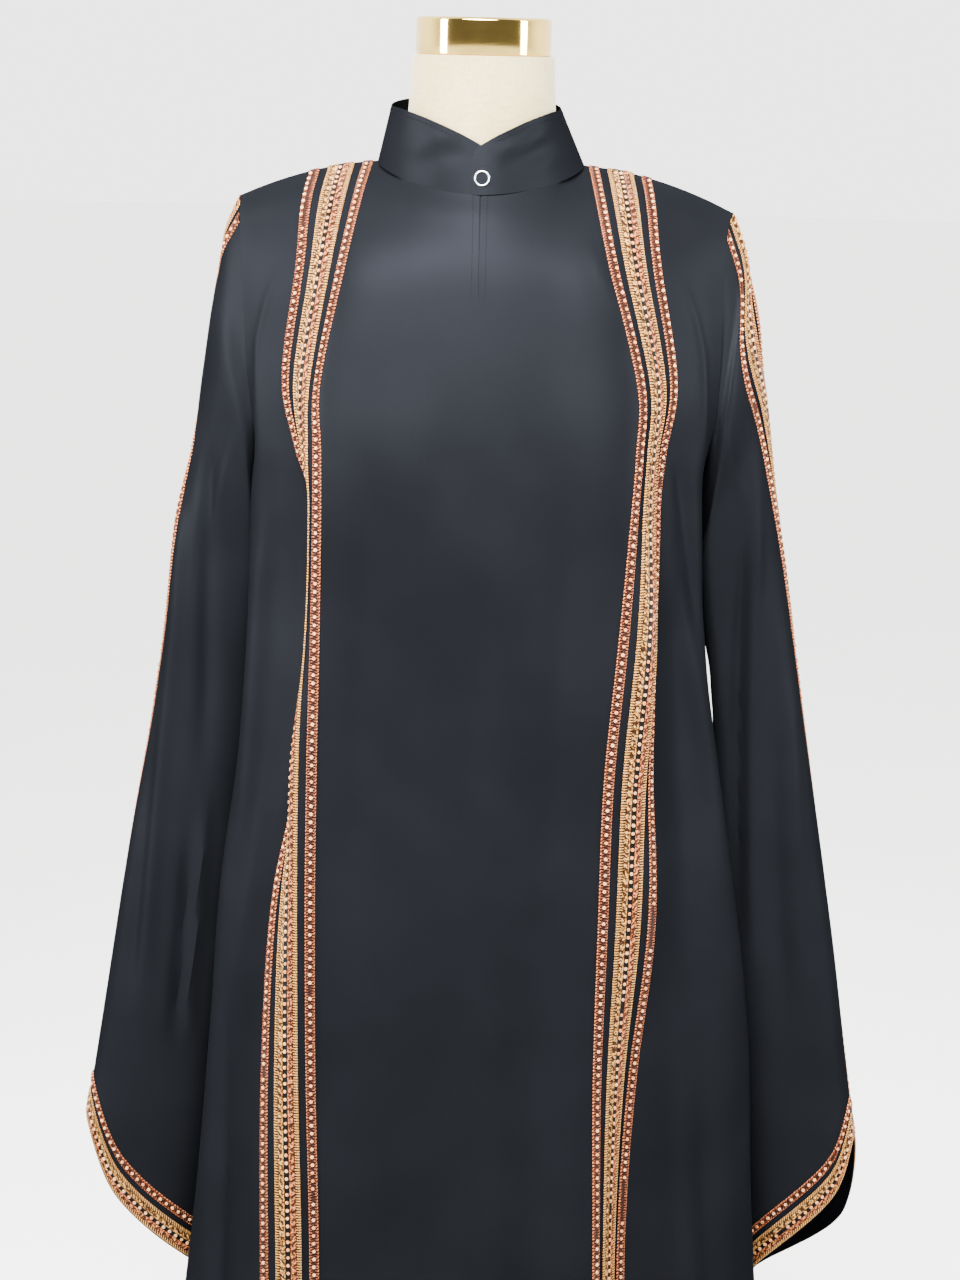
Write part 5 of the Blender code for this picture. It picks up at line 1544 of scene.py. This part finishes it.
# Studio
def set_camera():
    camera = bpy.data.objects.new("camera", bpy.data.cameras.new("camera"))
    camera.data.lens, camera.data.sensor_width = CAMERA_LENS, CAMERA_SENSOR
    turn = Matrix.Rotation(np.radians(CAMERA_TURN), 4, "Z")
    tilt = Matrix.Rotation(np.radians(90.0 - CAMERA_TILT), 4, "X")
    roll = Matrix.Rotation(np.radians(CAMERA_ROLL), 4, "Z")
    camera.matrix_world = Matrix.Translation(CAMERA_PLACE) @ turn @ tilt @ roll
    bpy.context.scene.collection.objects.link(camera)
    bpy.context.scene.camera = camera


def hang_lamp(lamp):
    light = bpy.data.lights.new(lamp.name, "AREA")
    light.shape, light.size, light.size_y = "RECTANGLE", *lamp.size
    light.energy, light.spread = lamp.power, lamp.spread
    holder = bpy.data.objects.new(lamp.name, light)
    way = Vector(lamp.towards) - Vector(lamp.place)
    holder.matrix_world = Matrix.Translation(lamp.place) @ way.to_track_quat("-Z", "Y").to_matrix().to_4x4()
    bpy.context.scene.collection.objects.link(holder)


def set_studio():
    turns = np.linspace(0, 2 * np.pi, FLOOR_SIDES, endpoint=False)
    around = np.column_stack([np.cos(turns), np.sin(turns), np.zeros(FLOOR_SIDES)]) * 1000.0
    faces = grid_faces(len(FLOOR_RINGS), FLOOR_SIDES, ring=True)
    mesh = new_mesh("floor", [around * radius for radius in FLOOR_RINGS], faces)
    new_object("floor", mesh, FINISHES["floor"])
    world = bpy.data.worlds.new("studio")
    bpy.context.scene.world = world
    world.use_nodes = True
    tree, back = world.node_tree, world.node_tree.nodes["Background"]
    back.inputs["Color"].default_value = (*WORLD_COLOUR, 1)
    kinds = ("TexCoord", "SeparateXYZ", "MapRange")
    way, parts, fade = (tree.nodes.new(f"ShaderNode{kind}") for kind in kinds)
    fade.interpolation_type = "SMOOTHSTEP"
    limits = ("From Min", "From Max", "To Min", "To Max")
    for name, value in zip(limits, (*WORLD_FADE, WORLD_FRONT, WORLD_BACK)):
        fade.inputs[name].default_value = value
    tree.links.new(way.outputs["Generated"], parts.inputs[0])
    tree.links.new(parts.outputs["Y"], fade.inputs["Value"])
    tree.links.new(fade.outputs[0], back.inputs["Strength"])
    for lamp in LAMPS:
        hang_lamp(lamp)
    sun = bpy.data.objects.new("overhead", bpy.data.lights.new("overhead", "SUN"))
    sun.data.energy, sun.data.angle, sun.rotation_euler.x = SUN_STRENGTH, SUN_SOFTNESS, SUN_TILT
    bpy.context.scene.collection.objects.link(sun)


FINISHES = {
    "cloth": cloth_finish(),
    "wide": wide_braid_finish(),
    "narrow": narrow_braid_finish(),
    "beads": bead_finish(),
    "thread": stitch_finish(),
    "linen": linen_finish(),
    "gold": metal_finish("polished_gold", (0.90, 0.62, 0.17), 0.03, 0.03),
    "silver": metal_finish("plated_ring", (0.86, 0.86, 0.86), 0.16, 0.05),
    "steel": metal_finish("brushed_steel", (0.62, 0.62, 0.63), 0.22, 0.25),
    "floor": floor_finish(),
}
set_studio()
set_camera()
cloth, sewn_on = sew()
build_form()
